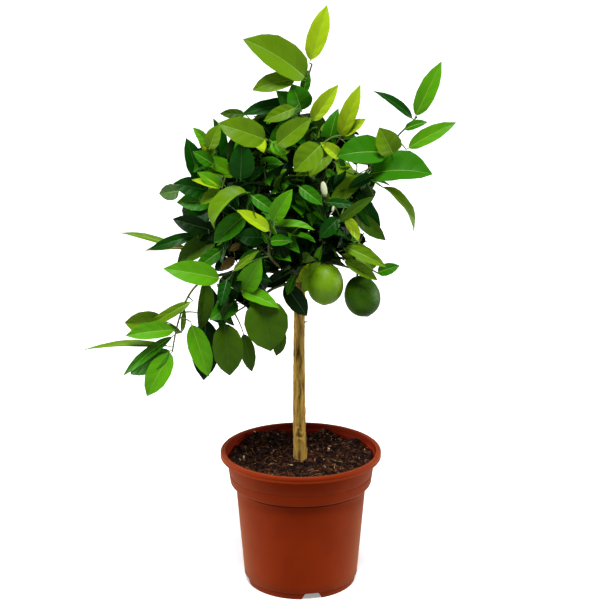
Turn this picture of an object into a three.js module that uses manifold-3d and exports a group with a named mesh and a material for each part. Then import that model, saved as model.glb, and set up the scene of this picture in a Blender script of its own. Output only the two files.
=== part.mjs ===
// A young lemon tree in a round plastic nursery pot.
// Millimetres, Z up, the side that the tree shows first towards -Y.
// The origin is the middle of the pot's flat underside, on the ground.
import * as THREE from 'three';
import { mergeVertices } from 'three/addons/utils/BufferGeometryUtils.js';
import Module from 'manifold-3d';

const wasm = await Module();
wasm.setup();

const { Vector3 } = THREE;
const vector = (x, y, z) => new Vector3(x, y, z);
const radians = THREE.MathUtils.degToRad;

// Driving dimensions of the pot
const POT_HEIGHT = 172;
const POT_WALL = 1.5;
const POT_SIDES = 32;
const RIM_RADIUS = 100;
const RIM_INNER_RADIUS = 93.6;
const RIM_DEPTH = 6.6;
const RIM_ROUND = 1.6;
const COLLAR_TOP_RADIUS = 92.4;
const COLLAR_FOOT_RADIUS = 88;
const COLLAR_FOOT_HEIGHT = 132.3;
const SHOULDER_HEIGHT = 126;
const SHOULDER_RADIUS = 81;
const CHAMFER_HEIGHT = 127.6;
const CHAMFER_RADIUS = 83.2;
const COLLAR_UNDER_HEIGHT = 130;
const COLLAR_UNDER_RADIUS = 86.2;
const BODY_FOOT_RADIUS = 71.3;
const FOOT_HEIGHT = 8.6;
const FOOT_TOP_RADIUS = 69.6;
const FOOT_RADIUS = 68.3;
const FOOT_STEP = 0.8;
const FOOT_RING_DEPTH = 3;
const PAD_RADIUS = 24;
const PAD_SLOPE = 6;
const NOTCH_COUNT = 4;
const NOTCH_WIDTH = 25;
const NOTCH_TOP_WIDTH = 17;
const NOTCH_HEIGHT = 8;
const NOTCH_TURN = 11.5;
const DRAIN_COUNT = 6;
const DRAIN_RADIUS = 4.5;
const DRAIN_CIRCLE = 46;
const DRAIN_SIDES = 10;
const CUT_SPARE = 1.5;

// Driving dimensions of the soil
const SOIL_HEIGHT = 155.5;
const SOIL_RISE = 5;
const SOIL_LUMP = 2.4;
const SOIL_SEAT_RADIUS = 14;
const SOIL_SIDE_CLEARANCE = 2.8;
const SOIL_EDGE_CLEARANCE = 0.9;
const SOIL_RINGS = 4;
const SOIL_SIDES = 20;

// Driving dimensions of the trunk
const FORK_HEIGHT = 411;
const TRUNK_SIDES = 12;
const TRUNK_STEPS = 9;
const TRUNK_FOOT_RADIUS = 8.2;
const TRUNK_FORK_RADIUS = 6.1;
const TRUNK_FLARE = 1.2;
const FLARE_HEIGHT = 9;
const TRUNK_SWAY = -1.9;
const TRUNK_LEAN = 0.6;

// Driving dimensions shared by limbs, twigs and leaves
const GAP = 0.3;
const LIMB_SIDES = 5;
const LIMB_STEPS = 4;
const LIMB_POINT_SPACING = 4;
const TWIG_SIDES = 3;
const STEM_RADIUS = 1.6;
const STEM_BEND_SHARE = 0.35;
const TWIG_RADIUS = 1.2;
const TWIG_TIP_SHARE = 0.7;
const TWIG_FOOT_RADIUS = 0.6;
const TWIG_CLEARANCE = 2;
const TWIG_TRACK = [0.1, 0.4, 0.7, 1];
const LEAF_THICKNESS = 1;
const LEAF_ROOT_DEPTH = 0.5;
const SHOWN_LEAF_STATIONS = [[0.3, 1.04], [0.67, 0.94]];
const SEEDED_LEAF_STATIONS = [[0.48, 1.1]];
const LEAF_FOLD = 14;
const LEAF_BEND = 26;
const LEAF_CLEARANCE = 2.6;
const SPACE_MARGIN = 0.4;
const BLADE_SPACING = 2.4;
const SHEET_SPAN = 110;
const SHEET_STEPS = 4;
const TWIG_SHARES = [0.15, 0.4, 0.65, 0.9];
const TWIG_ARCH = 0.05;
const TWIG_TRIALS = 400;
const LEAVES_ON_TWIG = 4;
const LEAFY_SHARE = 0.7;
const LEAF_WAYS = 10;
const LEAF_AIM = { heart: 0.5, any: 1.2, outward: 0.3, down: 0.15 };
const LEAF_FACE = { any: 0.45, outward: 0.5, up: 0.8 };
const LEAF_LENGTHS = [38, 62];
const LEAF_SLENDER = [0.42, 0.54];

// The dense crown is one egg, seeded leaves keep within it or within the lobe under it.
const CROWN_MIDDLE = [-18, 5, 490];
const CROWN_RADII = [128, 118, 106];
const LOBE_MIDDLE = [-72, -58, 378];
const LOBE_RADII = [56, 48, 52];

// Fruit and blossom bud
const FRUIT_LENGTH = 50;
const FRUIT_RADIUS = 20.5;
const FRUIT_SIDES = 10;
const FRUIT_RINGS = 7;
const FRUIT_NECK = 0.06;
const STALK_RADIUS = 1.3;
const STALK_DEPTH = 4;
const BUD_LENGTH = 13;
const BUD_RADIUS = 4.4;
const BUD_SIDES = 6;
const BUD_RINGS = 4;

// Each bough: what it leaves, at what share of that, the place of its tip, how far its
// middle is lifted, and its radius at the foot and at the tip.
const BOUGHS = {
  bough_leader: { from: 'trunk', share: 0.985, tip: [-2, 3, 545], lift: [7, 4, 0], radii: [4.6, 1.9] },
  bough_top_right: { from: 'bough_leader', share: 0.5, tip: [30, -4, 534], lift: [4, 0, -4], radii: [2.2, 1.5] },
  bough_upper_left: { from: 'bough_leader', share: 0.22, tip: [-50, -18, 500], lift: [-4, 0, -6], radii: [2.6, 1.6] },
  bough_middle: { from: 'bough_leader', share: 0.36, tip: [-8, -34, 474], lift: [0, -4, -4], radii: [2.1, 1.5] },
  bough_left: { from: 'trunk', share: 0.965, tip: [-64, -20, 452], lift: [-4, 0, -5], radii: [2.8, 1.7] },
  bough_spray: { from: 'trunk', share: 0.925, tip: [-108, -38, 402], lift: [4, 0, 9], radii: [3, 1.7] },
  bough_low_left: { from: 'trunk', share: 0.885, tip: [-42, -44, 384], lift: [0, 0, 6], radii: [2.4, 1.6] },
  bough_front: { from: 'trunk', share: 0.955, tip: [-33, -72, 432], lift: [0, -6, -4], radii: [2.4, 1.5] },
  bough_fruit: { from: 'trunk', share: 0.92, tip: [13, -38, 417], lift: [0, -3, 0], radii: [2.3, 1.7] },
  bough_low_right: { from: 'trunk', share: 0.97, tip: [46, -30, 424], lift: [0, 0, 4], radii: [2.4, 1.6] },
  bough_right: { from: 'bough_leader', share: 0.12, tip: [52, -28, 486], lift: [5, 0, -6], radii: [2.8, 1.8] },
  bough_back_left: { from: 'trunk', share: 0.95, tip: [-48, 44, 452], lift: [0, 0, -5], radii: [2.6, 1.6] },
  bough_back_right: { from: 'trunk', share: 0.965, tip: [46, 42, 458], lift: [0, 0, -6], radii: [2.6, 1.6] },
  bough_back_low: { from: 'trunk', share: 0.9, tip: [4, 46, 410], lift: [0, 0, 3], radii: [2.3, 1.6] },
  bough_back_top: { from: 'bough_leader', share: 0.42, tip: [-4, 36, 518], lift: [0, 4, -4], radii: [2.3, 1.6] },
};

// Each mass of foliage keeps to its space, which is nearer to its own middle than to any
// other, middles of a greater girth reaching further. Its stem runs on from the tip of
// its bough, and its other shoots leave the stem. A leaf of a shoot is a row: share of
// the shoot, clock angle seen from the front, length, width, lean to the front and turn
// of its upper face from the front to the sky. Seeded twigs fill the mass round its heart.
const MASSES = {
  crown_top: {
    bough: 'bough_leader', seed: 43,
    space: { middle: [-15.5, -1.8, 578], girth: 49 }, fill: { heart: [-8, -2, 574], reach: 26, leaves: 8 },
    shoots: [
      {
        tip: [13, -5, 650],
        leaves: [
          [0.56, -177, 80, 26, 10, 40], [0.43, -138, 52, 27, 22, 15], [0.2, 55, 72, 22, 12, 15],
          [0.48, 129, 44, 27, 15, 20], [0.72, 78, 30, 12, 0, 0], [0.86, -171, 60, 24, 10, 25],
          [0.86, 143, 86, 43, 8, 12], [0.99, 78, 70, 29, -8, 5],
        ],
      },
    ],
  },
  crown_top_right: {
    bough: 'bough_top_right', seed: 41,
    space: { middle: [21.6, -0.5, 553.8], girth: 40 }, fill: { heart: [32, -6, 556], reach: 24, leaves: 12 },
    shoots: [
      {
        tip: [49, -15, 568],
        leaves: [
          [0.9, 70, 70, 21, 5, 10], [0.98, 38, 36, 15, 10, 30], [0.55, -132, 46, 22, 25, 15],
          [0.6, 160, 30, 17, 30, 30], [0.22, 77, 60, 22, -12, 25],
        ],
      },
    ],
  },
  crown_upper_left: {
    bough: 'bough_upper_left', seed: 44,
    space: { middle: [-63.4, -54.5, 538.6], girth: 45.1 }, fill: { heart: [-68, -34, 540], reach: 32, leaves: 20 },
    shoots: [
      {
        tip: [-40, -42, 566],
        leaves: [
          [0.98, 152, 66, 35, 10, 12], [0.5, 92, 62, 33, 22, 5], [0.6, 8, 34, 18, 20, 40],
        ],
      },
      {
        from: 0.25, tip: [-110, -30, 552], lift: [0, 0, -5],
        leaves: [
          [0.97, 71, 38, 20, 20, 15], [0.9, 119, 38, 15, 25, 20], [0.72, 99, 54, 22, -10, 50],
          [0.85, -150, 34, 16, 35, 30], [0.45, 152, 46, 20, 25, 35], [0.35, 166, 44, 18, 30, 45],
        ],
      },
    ],
  },
  crown_left: {
    bough: 'bough_left', seed: 34,
    space: { middle: [-113.9, -21.9, 473.8], girth: 44 }, fill: { heart: [-92, -26, 468], reach: 32, leaves: 14 },
    shoots: [
      {
        tip: [-113, -32, 500],
        leaves: [
          [0.98, 168, 56, 26, 15, 20], [0.85, 178, 54, 24, 12, 20], [0.78, -152, 46, 24, 24, 20],
          [0.35, -160, 58, 25, 10, 10], [0.99, 113, 36, 20, 0, 5],
        ],
      },
      {
        from: 0.12, tip: [-140, -36, 433], lift: [0, 0, 4],
        leaves: [
          [0.5, 158, 50, 28, 15, 12], [0.62, -173, 58, 22, 10, 40], [0.42, -149, 58, 25, 10, 20],
          [0.97, 162, 76, 12, -4, 50], [0.9, -179, 52, 12, 10, 55],
        ],
      },
    ],
  },
  crown_low_left: {
    bough: 'bough_low_left', seed: 42,
    space: { middle: [-74.3, -85.3, 382], girth: 48.6 }, fill: { heart: [-70, -70, 388], reach: 30, leaves: 16 },
    shoots: [
      {
        tip: [-93, -76, 406],
        leaves: [
          [0.98, 162, 70, 33, 12, 20], [0.62, 63, 56, 27, 20, 10], [0.55, -20, 54, 20, 22, 35],
          [0.45, -61, 18, 10, 20, 10],
        ],
      },
      {
        from: 0.12, tip: [-84, -66, 358], lift: [0, 0, 0],
        leaves: [
          [0.98, -84, 68, 36, 5, 10], [0.8, -69, 66, 22, -4, 25], [0.3, -62, 72, 38, 8, 8],
          [0.12, -48, 60, 22, -8, 30],
        ],
      },
    ],
  },
  crown_spray: {
    bough: 'bough_spray', seed: 16,
    space: { middle: [-134, -35, 354], girth: 46 }, fill: { heart: [-130, -42, 360], reach: 24, leaves: 2 },
    shoots: [
      {
        tip: [-153, -52, 314],
        leaves: [
          [0.52, -162, 50, 17, 10, 25], [0.6, -164, 74, 31, 4, 10], [0.06, -98, 60, 24, 10, 20], [0.14, -72, 62, 24, -14, 10],
          [0.56, -60, 78, 28, 4, 8], [0.7, -70, 78, 32, -8, 10], [0.72, 92, 32, 8, 0, 20],
          [0.75, 140, 32, 9, 5, 20], [0.78, -176, 62, 25, 12, 30], [0.9, -175, 100, 11, 0, 55],
          [0.86, -141, 72, 20, 0, 25], [0.95, -144, 64, 26, -8, 20], [0.99, -120, 64, 29, 10, 15],
        ],
      },
    ],
  },
  crown_front: {
    bough: 'bough_front', seed: 43,
    space: { middle: [-19, -96, 485], girth: 43 }, fill: { heart: [-26, -78, 454], reach: 34, leaves: 18 },
    shoots: [
      {
        tip: [-31, -92, 484],
        leaves: [
          [0.6, 6, 30, 15, 20, 35], [0.55, 120, 18, 8, 10, 20], [0.8, 142, 44, 16, 15, 30],
          [0.92, -5, 50, 14, 10, 55], [0.97, 61, 48, 24, 12, 15],
        ],
      },
    ],
  },
  crown_right: {
    bough: 'bough_right', seed: 44,
    space: { middle: [75.7, -48.9, 514.2], girth: 52.5 }, fill: { heart: [62, -34, 508], reach: 32, leaves: 18 },
    shoots: [
      {
        tip: [134, -40, 594],
        leaves: [
          [0.42, -140, 58, 20, 15, 20], [0.2, -56, 60, 22, 8, 20], [0.06, -57, 36, 16, 25, 20],
          [0.52, -62, 92, 19, -6, 38], [0.43, 9, 82, 40, 8, 10], [0.66, -179, 66, 32, 8, 15],
          [0.7, 117, 40, 28, 25, 10], [0.71, 21, 80, 27, 5, 20], [0.88, 20, 30, 12, 10, 40],
          [0.97, 144, 54, 15, 5, 35], [0.99, 66, 72, 26, -5, 8],
        ],
      },
    ],
  },
  crown_low_right: {
    bough: 'bough_low_right', seed: 42,
    space: { middle: [41.7, -50.4, 428.5], girth: 41.5 }, fill: { heart: [58, -36, 432], reach: 26, leaves: 14 },
    shoots: [
      {
        tip: [92, -42, 408],
        leaves: [
          [0.97, 22, 30, 16, 15, 20], [0.9, 125, 50, 27, 20, 15], [0.8, 146, 46, 20, 28, 35],
          [0.6, 94, 32, 16, 20, 20],
        ],
      },
    ],
  },
  crown_fruit: {
    bough: 'bough_fruit', seed: 33,
    space: { middle: [31.9, -51.5, 415.3], girth: 46.1 }, fill: { heart: [14, -36, 410], reach: 26, leaves: 8 },
    shoots: [
      {
        tip: [69, -45, 412],
        leaves: [
          [0.2, -132, 32, 15, 10, 15], [0.24, 75, 26, 10, 20, 20],
        ],
      },
      {
        from: 0.16, tip: [-16, -45, 398], lift: [0, -5, 2],
        leaves: [[0.95, -56, 42, 24, 0, 10], [0.6, -112, 26, 12, 15, 20]],
      },
    ],
    fruit: [
      { shoot: 0, share: 0.34, top: [30.6, -50, 421], clock: -94 },
      { shoot: 0, share: 0.98, top: [66, -45, 404], clock: -74 },
    ],
  },
  crown_middle: {
    bough: 'bough_middle', seed: 41,
    space: { middle: [-6.6, -64.3, 497.4], girth: 40.7 }, fill: { heart: [2, -40, 494], reach: 34, leaves: 20 },
    shoots: [
      { tip: [-14, -58, 512], leaves: [] },
      { from: 0.2, tip: [26, -56, 512], lift: [0, 0, 3], leaves: [] },
    ],
    buds: [{ shoot: 1, share: 0.97, clock: -84 }],
  },
  crown_back_left: {
    bough: 'bough_back_left', seed: 22,
    space: { middle: [-70, 65, 472], girth: 45 }, fill: { heart: [-62, 48, 480], reach: 38, leaves: 20 },
    shoots: [{ tip: [-84, 70, 496], leaves: [] }],
  },
  crown_back_right: {
    bough: 'bough_back_right', seed: 23,
    space: { middle: [69, 60, 484], girth: 45 }, fill: { heart: [48, 48, 488], reach: 38, leaves: 20 },
    shoots: [{ tip: [82, 68, 504], leaves: [] }],
  },
  crown_back_low: {
    bough: 'bough_back_low', seed: 24,
    space: { middle: [3, 70, 414], girth: 45 }, fill: { heart: [-4, 58, 424], reach: 36, leaves: 16 },
    shoots: [{ tip: [6, 84, 420], leaves: [] }],
  },
  crown_back_top: {
    bough: 'bough_back_top', seed: 25,
    space: { middle: [-10, 45, 564], girth: 48 }, fill: { heart: [-10, 44, 552], reach: 34, leaves: 22 },
    shoots: [{ tip: [-10, 58, 566], leaves: [] }],
  },
};

const COLOURS = {
  pot: { color: '#a4532f', roughness: 0.45 },
  soil: { color: '#33231a', roughness: 1 },
  bark: { color: '#9a7f4c', roughness: 0.85 },
  bough: { color: '#3f4a24', roughness: 0.8 },
  foliage: { color: '#3f7d1e', roughness: 0.4 },
};

// Numbers from 0 to 1 in an order that the seed sets.
function numbersFrom(seed) {
  let state = (seed * 2654435761) % 4294967296;
  return () => {
    state = (state * 1664525 + 1013904223) % 4294967296;
    return state / 4294967296;
  };
}

// Closed geometry from rings of corners, each ring joined to the next. The first and the
// last may be a single point, and otherwise a flat fan closes them.
function skin(rings) {
  const starts = [];
  let count = 0;
  for (const ring of rings) {
    starts.push(count);
    count += ring.length;
  }
  const sides = Math.max(...rings.map((ring) => ring.length));
  const corner = (row, side) => starts[row] + (side % rings[row].length);
  const triangles = [];
  for (let row = 0; row + 1 < rings.length; row += 1) {
    for (let side = 0; side < sides; side += 1) {
      if (rings[row].length > 1) {
        triangles.push(corner(row, side), corner(row, side + 1), corner(row + 1, side + 1));
      }
      if (rings[row + 1].length > 1) {
        triangles.push(corner(row, side), corner(row + 1, side + 1), corner(row + 1, side));
      }
    }
  }
  const last = rings.length - 1;
  for (let side = 1; side + 1 < rings[0].length; side += 1) {
    triangles.push(corner(0, 0), corner(0, side + 1), corner(0, side));
  }
  for (let side = 1; side + 1 < rings[last].length; side += 1) {
    triangles.push(corner(last, 0), corner(last, side), corner(last, side + 1));
  }
  const geometry = new THREE.BufferGeometry();
  const places = rings.flat().flatMap((place) => place.toArray());
  geometry.setAttribute('position', new THREE.Float32BufferAttribute(places, 3));
  geometry.setIndex(triangles);
  return geometry;
}

function toSolid(geometry) {
  const bare = geometry.index ? geometry.clone() : geometry;
  bare.deleteAttribute('normal');
  bare.deleteAttribute('uv');
  const merged = mergeVertices(bare, 1e-4);
  return new wasm.Manifold(new wasm.Mesh({
    numProp: 3,
    vertProperties: new Float32Array(merged.attributes.position.array),
    triVerts: new Uint32Array(merged.index.array),
  }));
}

function toGeometry(solid) {
  const mesh = solid.getMesh();
  const geometry = new THREE.BufferGeometry();
  geometry.setAttribute('position', new THREE.Float32BufferAttribute(mesh.vertProperties, 3));
  geometry.setIndex(new THREE.BufferAttribute(new Uint32Array(mesh.triVerts), 1));
  return geometry;
}

// The largest closed skin of a solid: hollows that joining sealed are filled, and loose
// scraps are dropped.
function wholeBody(solid) {
  const pieces = solid.decompose();
  return pieces.reduce((best, piece) => (piece.volume() > best.volume() ? piece : best));
}

function joined(solids) {
  return wholeBody(solids.reduce((whole, solid) => whole.add(solid)));
}

// A limb's line: from its foot to its tip, its middle moved by lift.
function limbLine(foot, tip, lift) {
  const middle = foot.clone().add(tip).multiplyScalar(0.5).addScaledVector(lift, 2);
  return new THREE.QuadraticBezierCurve3(foot, middle, tip);
}

// A stem's line: it leaves the bough's tip as the bough arrives, and bends to its own tip.
function stemLine(bough, tip) {
  const heading = bough.getTangent(1);
  const foot = bough.getPoint(1).addScaledVector(heading, GAP);
  const middle = foot.clone().addScaledVector(heading, STEM_BEND_SHARE * foot.distanceTo(tip));
  return new THREE.QuadraticBezierCurve3(foot, middle, tip);
}

// A round limb along a line, its radius given by the share of the line. The trunk's rings
// lie level, so that its foot is flat on the soil.
function limbSkin(line, radiusAt, steps, sides, level = false) {
  const rings = [];
  let across = null;
  for (let step = 0; step <= steps; step += 1) {
    const share = step / steps;
    const heading = level ? vector(0, 0, 1) : line.getTangent(share);
    if (!across) {
      const aside = Math.abs(heading.z) > 0.8 ? vector(1, 0, 0) : vector(0, 0, 1);
      across = aside.cross(heading).normalize();
    }
    across.addScaledVector(heading, -across.dot(heading)).normalize();
    const other = heading.clone().cross(across);
    const middle = line.getPoint(share);
    const ring = [];
    for (let side = 0; side < sides; side += 1) {
      const turn = (2 * Math.PI * side) / sides;
      const radius = radiusAt(share);
      ring.push(middle.clone()
        .addScaledVector(across, radius * Math.cos(turn))
        .addScaledVector(other, radius * Math.sin(turn)));
    }
    rings.push(ring);
  }
  return skin(rings);
}

function taper(foot, tip) {
  return (share) => foot + (tip - foot) * share;
}

// Pot
function potOutline() {
  const rimUnder = POT_HEIGHT - RIM_DEPTH;
  const floorTop = FOOT_HEIGHT + POT_WALL;
  const outline = [
    [0, 0], [PAD_RADIUS, 0], [PAD_RADIUS + PAD_SLOPE, FOOT_HEIGHT],
    [FOOT_TOP_RADIUS - FOOT_RING_DEPTH, FOOT_HEIGHT], [FOOT_RADIUS - POT_WALL, 0],
    [FOOT_RADIUS, 0], [FOOT_TOP_RADIUS, FOOT_HEIGHT], [BODY_FOOT_RADIUS, FOOT_HEIGHT + FOOT_STEP],
    [SHOULDER_RADIUS, SHOULDER_HEIGHT], [CHAMFER_RADIUS, CHAMFER_HEIGHT],
    [COLLAR_UNDER_RADIUS, COLLAR_UNDER_HEIGHT],
    [COLLAR_FOOT_RADIUS, COLLAR_FOOT_HEIGHT], [COLLAR_TOP_RADIUS, rimUnder],
    [RIM_RADIUS - RIM_ROUND, rimUnder], [RIM_RADIUS, rimUnder + RIM_ROUND],
    [RIM_RADIUS, POT_HEIGHT - RIM_ROUND], [RIM_RADIUS - RIM_ROUND, POT_HEIGHT],
    [RIM_INNER_RADIUS + RIM_ROUND, POT_HEIGHT], [RIM_INNER_RADIUS, POT_HEIGHT - RIM_ROUND],
    [COLLAR_TOP_RADIUS - POT_WALL, rimUnder],
    [COLLAR_FOOT_RADIUS - POT_WALL, COLLAR_FOOT_HEIGHT],
    [CHAMFER_RADIUS - POT_WALL, CHAMFER_HEIGHT + POT_WALL / 2],
    [SHOULDER_RADIUS - POT_WALL, SHOULDER_HEIGHT + POT_WALL / 2],
    [BODY_FOOT_RADIUS - POT_WALL, floorTop], [PAD_RADIUS + PAD_SLOPE - POT_WALL, floorTop],
    [PAD_RADIUS - POT_WALL, POT_WALL], [0, POT_WALL],
  ];
  return outline.map(([radius, height]) => new THREE.Vector2(radius, height));
}

function turned(outline, sides) {
  return new THREE.LatheGeometry(outline, sides).rotateX(Math.PI / 2);
}

function potNotch(angle) {
  const outline = new THREE.Shape([
    new THREE.Vector2(-NOTCH_WIDTH / 2, -CUT_SPARE), new THREE.Vector2(NOTCH_WIDTH / 2, -CUT_SPARE),
    new THREE.Vector2(NOTCH_TOP_WIDTH / 2, NOTCH_HEIGHT),
    new THREE.Vector2(-NOTCH_TOP_WIDTH / 2, NOTCH_HEIGHT),
  ]);
  const depth = 2 * FOOT_RING_DEPTH + 2 * CUT_SPARE;
  const notch = new THREE.ExtrudeGeometry(outline, { depth, bevelEnabled: false });
  notch.rotateX(Math.PI / 2);
  notch.translate(0, depth - FOOT_TOP_RADIUS - CUT_SPARE, 0);
  notch.rotateZ(angle);
  return toSolid(notch);
}

function drainHole(angle) {
  const hole = new THREE.CylinderGeometry(DRAIN_RADIUS, DRAIN_RADIUS, 4 * POT_WALL, DRAIN_SIDES);
  hole.rotateX(Math.PI / 2);
  hole.translate(DRAIN_CIRCLE * Math.cos(angle), DRAIN_CIRCLE * Math.sin(angle), FOOT_HEIGHT);
  return toSolid(hole);
}

function makePot() {
  let pot = toSolid(turned(potOutline(), POT_SIDES));
  for (let index = 0; index < NOTCH_COUNT; index += 1) {
    pot = pot.subtract(potNotch(radians(NOTCH_TURN) + (2 * Math.PI * index) / NOTCH_COUNT));
  }
  for (let index = 0; index < DRAIN_COUNT; index += 1) {
    pot = pot.subtract(drainHole((2 * Math.PI * (index + 0.5)) / DRAIN_COUNT));
  }
  return toGeometry(pot);
}

// Soil: fills the pot, level at the trunk's foot and lumpy and rising to the wall.
function wallInside(height) {
  const share = (height - COLLAR_FOOT_HEIGHT) / (POT_HEIGHT - RIM_DEPTH - COLLAR_FOOT_HEIGHT);
  return COLLAR_FOOT_RADIUS + share * (COLLAR_TOP_RADIUS - COLLAR_FOOT_RADIUS) - POT_WALL;
}

function soilHeight(radius, angle) {
  const out = Math.max(0, (radius - SOIL_SEAT_RADIUS) / (wallInside(SOIL_HEIGHT) - SOIL_SEAT_RADIUS));
  const lumps = Math.sin(3 * angle + 0.09 * radius) + Math.cos(5 * angle - 0.13 * radius);
  return SOIL_HEIGHT + SOIL_RISE * out * out + SOIL_LUMP * 0.5 * lumps * Math.min(1, 3 * out);
}

function makeSoil() {
  const sideRadii = [
    [BODY_FOOT_RADIUS - SOIL_SIDE_CLEARANCE, FOOT_HEIGHT + POT_WALL + GAP],
    [SHOULDER_RADIUS - SOIL_SIDE_CLEARANCE, SHOULDER_HEIGHT],
    [COLLAR_FOOT_RADIUS - SOIL_SIDE_CLEARANCE, COLLAR_FOOT_HEIGHT],
  ];
  const ringAt = (radius, heightAt) => Array.from({ length: SOIL_SIDES }, (_, side) => {
    const angle = (2 * Math.PI * side) / SOIL_SIDES;
    return vector(radius * Math.cos(angle), radius * Math.sin(angle), heightAt(angle));
  });
  const rings = sideRadii.map(([radius, height]) => ringAt(radius, () => height));
  const edge = wallInside(SOIL_HEIGHT) - SOIL_EDGE_CLEARANCE;
  for (let ring = SOIL_RINGS; ring >= 0; ring -= 1) {
    const radius = SOIL_SEAT_RADIUS + ((edge - SOIL_SEAT_RADIUS) * ring) / SOIL_RINGS;
    rings.push(ringAt(radius, (angle) => soilHeight(radius, angle)));
  }
  return skin(rings);
}

// Trunk: a slight sway, an even taper and a short flare at the foot.
const trunkFoot = vector(-0.6, 0, SOIL_HEIGHT + GAP);
const trunkFork = vector(trunkFoot.x + TRUNK_LEAN, 0, FORK_HEIGHT);
const trunkLine = limbLine(trunkFoot, trunkFork, vector(TRUNK_SWAY, 0, 0));

function trunkRadius(share) {
  const height = share * (FORK_HEIGHT - SOIL_HEIGHT);
  const flare = TRUNK_FLARE * Math.exp(-height / FLARE_HEIGHT);
  return taper(TRUNK_FOOT_RADIUS, TRUNK_FORK_RADIUS)(share) + flare;
}

// Limbs: the trunk and every bough, with its line and radius, in the order they fork.
const limbs = {
  trunk: { line: trunkLine, radiusAt: trunkRadius, steps: TRUNK_STEPS, sides: TRUNK_SIDES, level: true },
};
for (const [name, bough] of Object.entries(BOUGHS)) {
  const foot = limbs[bough.from].line.getPoint(bough.share);
  const line = limbLine(foot, vector(...bough.tip), vector(...bough.lift));
  const radiusAt = taper(...bough.radii);
  limbs[name] = { line, radiusAt, steps: LIMB_STEPS, sides: LIMB_SIDES, level: false, from: bough.from };
}

function limbShape(limb, spare) {
  return limbSkin(limb.line, (share) => limb.radiusAt(share) + spare, limb.steps, limb.sides, limb.level);
}

// Each bough is cut to sit on the limb that it leaves.
function makeLimb(name) {
  const limb = limbs[name];
  const shape = limbShape(limb, 0);
  if (!limb.from) {
    return shape;
  }
  const seat = limbShape(limbs[limb.from], GAP).translate(0, 0, GAP);
  return toGeometry(wholeBody(toSolid(shape).subtract(toSolid(seat))));
}

// Points that say where the limbs run, to keep leaves off them.
const limbPoints = [];
for (const limb of Object.values(limbs)) {
  const spaces = Math.ceil(limb.line.getLength() / LIMB_POINT_SPACING);
  for (let index = 0; index <= spaces; index += 1) {
    const share = index / spaces;
    limbPoints.push({ place: limb.line.getPoint(share), radius: limb.radiusAt(share) });
  }
}

function clearOfLimbs(points, clearance) {
  return points.every((point) => limbPoints.every(
    (limb) => limb.place.distanceTo(point) > limb.radius + clearance));
}

// Space: how far a point is inside the space of a mass, against every other mass.
function insideSpace(name, points) {
  const own = MASSES[name].space;
  const ownMiddle = vector(...own.middle);
  return Object.entries(MASSES).every(([other, { space }]) => {
    if (other === name) {
      return true;
    }
    const middle = vector(...space.middle);
    const margin = 2 * SPACE_MARGIN * middle.distanceTo(ownMiddle);
    return points.every((point) => {
      const ownPull = point.distanceToSquared(ownMiddle) - own.girth ** 2;
      const pull = point.distanceToSquared(middle) - space.girth ** 2;
      return pull - ownPull > margin;
    });
  });
}

function insideEgg(point, middle, radii) {
  return point.clone().sub(vector(...middle)).divide(vector(...radii)).length() < 1;
}

function insideCrown(points) {
  return points.every((point) => (
    insideEgg(point, CROWN_MIDDLE, CROWN_RADII) || insideEgg(point, LOBE_MIDDLE, LOBE_RADII)));
}

// A leaf: a blade folded up along its midrib and bent down over its length, from its root,
// which is sunk in the twig, over rings of four corners to its point. Its stations are
// shares of its length, each with the share of its width that it has there.
function leafRings({ root, along, upper, length, width, stations }) {
  const bend = radians(LEAF_BEND);
  const fold = radians(LEAF_FOLD);
  const side = upper.clone().cross(along).normalize();
  const half = Math.max(LEAF_THICKNESS, length / 90) / 2;
  const middleAt = (share) => {
    const turn = bend / 2 - bend * share;
    return root.clone()
      .addScaledVector(along, (length * (Math.sin(bend / 2) - Math.sin(turn))) / bend)
      .addScaledVector(upper, (length * (Math.cos(turn) - Math.cos(bend / 2))) / bend);
  };
  const rings = stations.map(([share, fullness]) => {
    const turn = bend / 2 - bend * share;
    const normal = upper.clone().multiplyScalar(Math.cos(turn)).addScaledVector(along, -Math.sin(turn));
    const middle = middleAt(share);
    const halfWidth = (fullness * width) / 2;
    const rise = normal.clone().multiplyScalar(halfWidth * Math.sin(fold));
    const out = halfWidth * Math.cos(fold);
    return [
      middle.clone().addScaledVector(side, out).add(rise),
      middle.clone().addScaledVector(normal, half),
      middle.clone().addScaledVector(side, -out).add(rise),
      middle.clone().addScaledVector(normal, -half),
    ];
  });
  return [[root.clone().addScaledVector(along, -LEAF_ROOT_DEPTH)], ...rings, [middleAt(1)]];
}

// The two directions of a leaf that is told by how it looks from the front.
function leafPose(clock, lean, turn) {
  const along = vector(
    Math.cos(radians(clock)) * Math.cos(radians(lean)), -Math.sin(radians(lean)),
    Math.sin(radians(clock)) * Math.cos(radians(lean)));
  const front = vector(0, -1, 0);
  front.addScaledVector(along, -front.dot(along)).normalize();
  const skyward = along.clone().cross(front);
  if (skyward.z + 0.2 * skyward.x < 0) {
    skyward.negate();
  }
  const upper = front.multiplyScalar(Math.cos(radians(turn)));
  upper.addScaledVector(skyward, Math.sin(radians(turn)));
  return { along, upper };
}

// Points spread over a leaf, to test its place.
function spread(rings) {
  const flat = rings.flat();
  const points = [...flat];
  for (let row = 1; row < rings.length; row += 1) {
    for (const corner of rings[row]) {
      for (const before of rings[row - 1]) {
        points.push(corner.clone().lerp(before, 0.3), corner.clone().lerp(before, 0.6));
      }
    }
  }
  return points;
}

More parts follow.
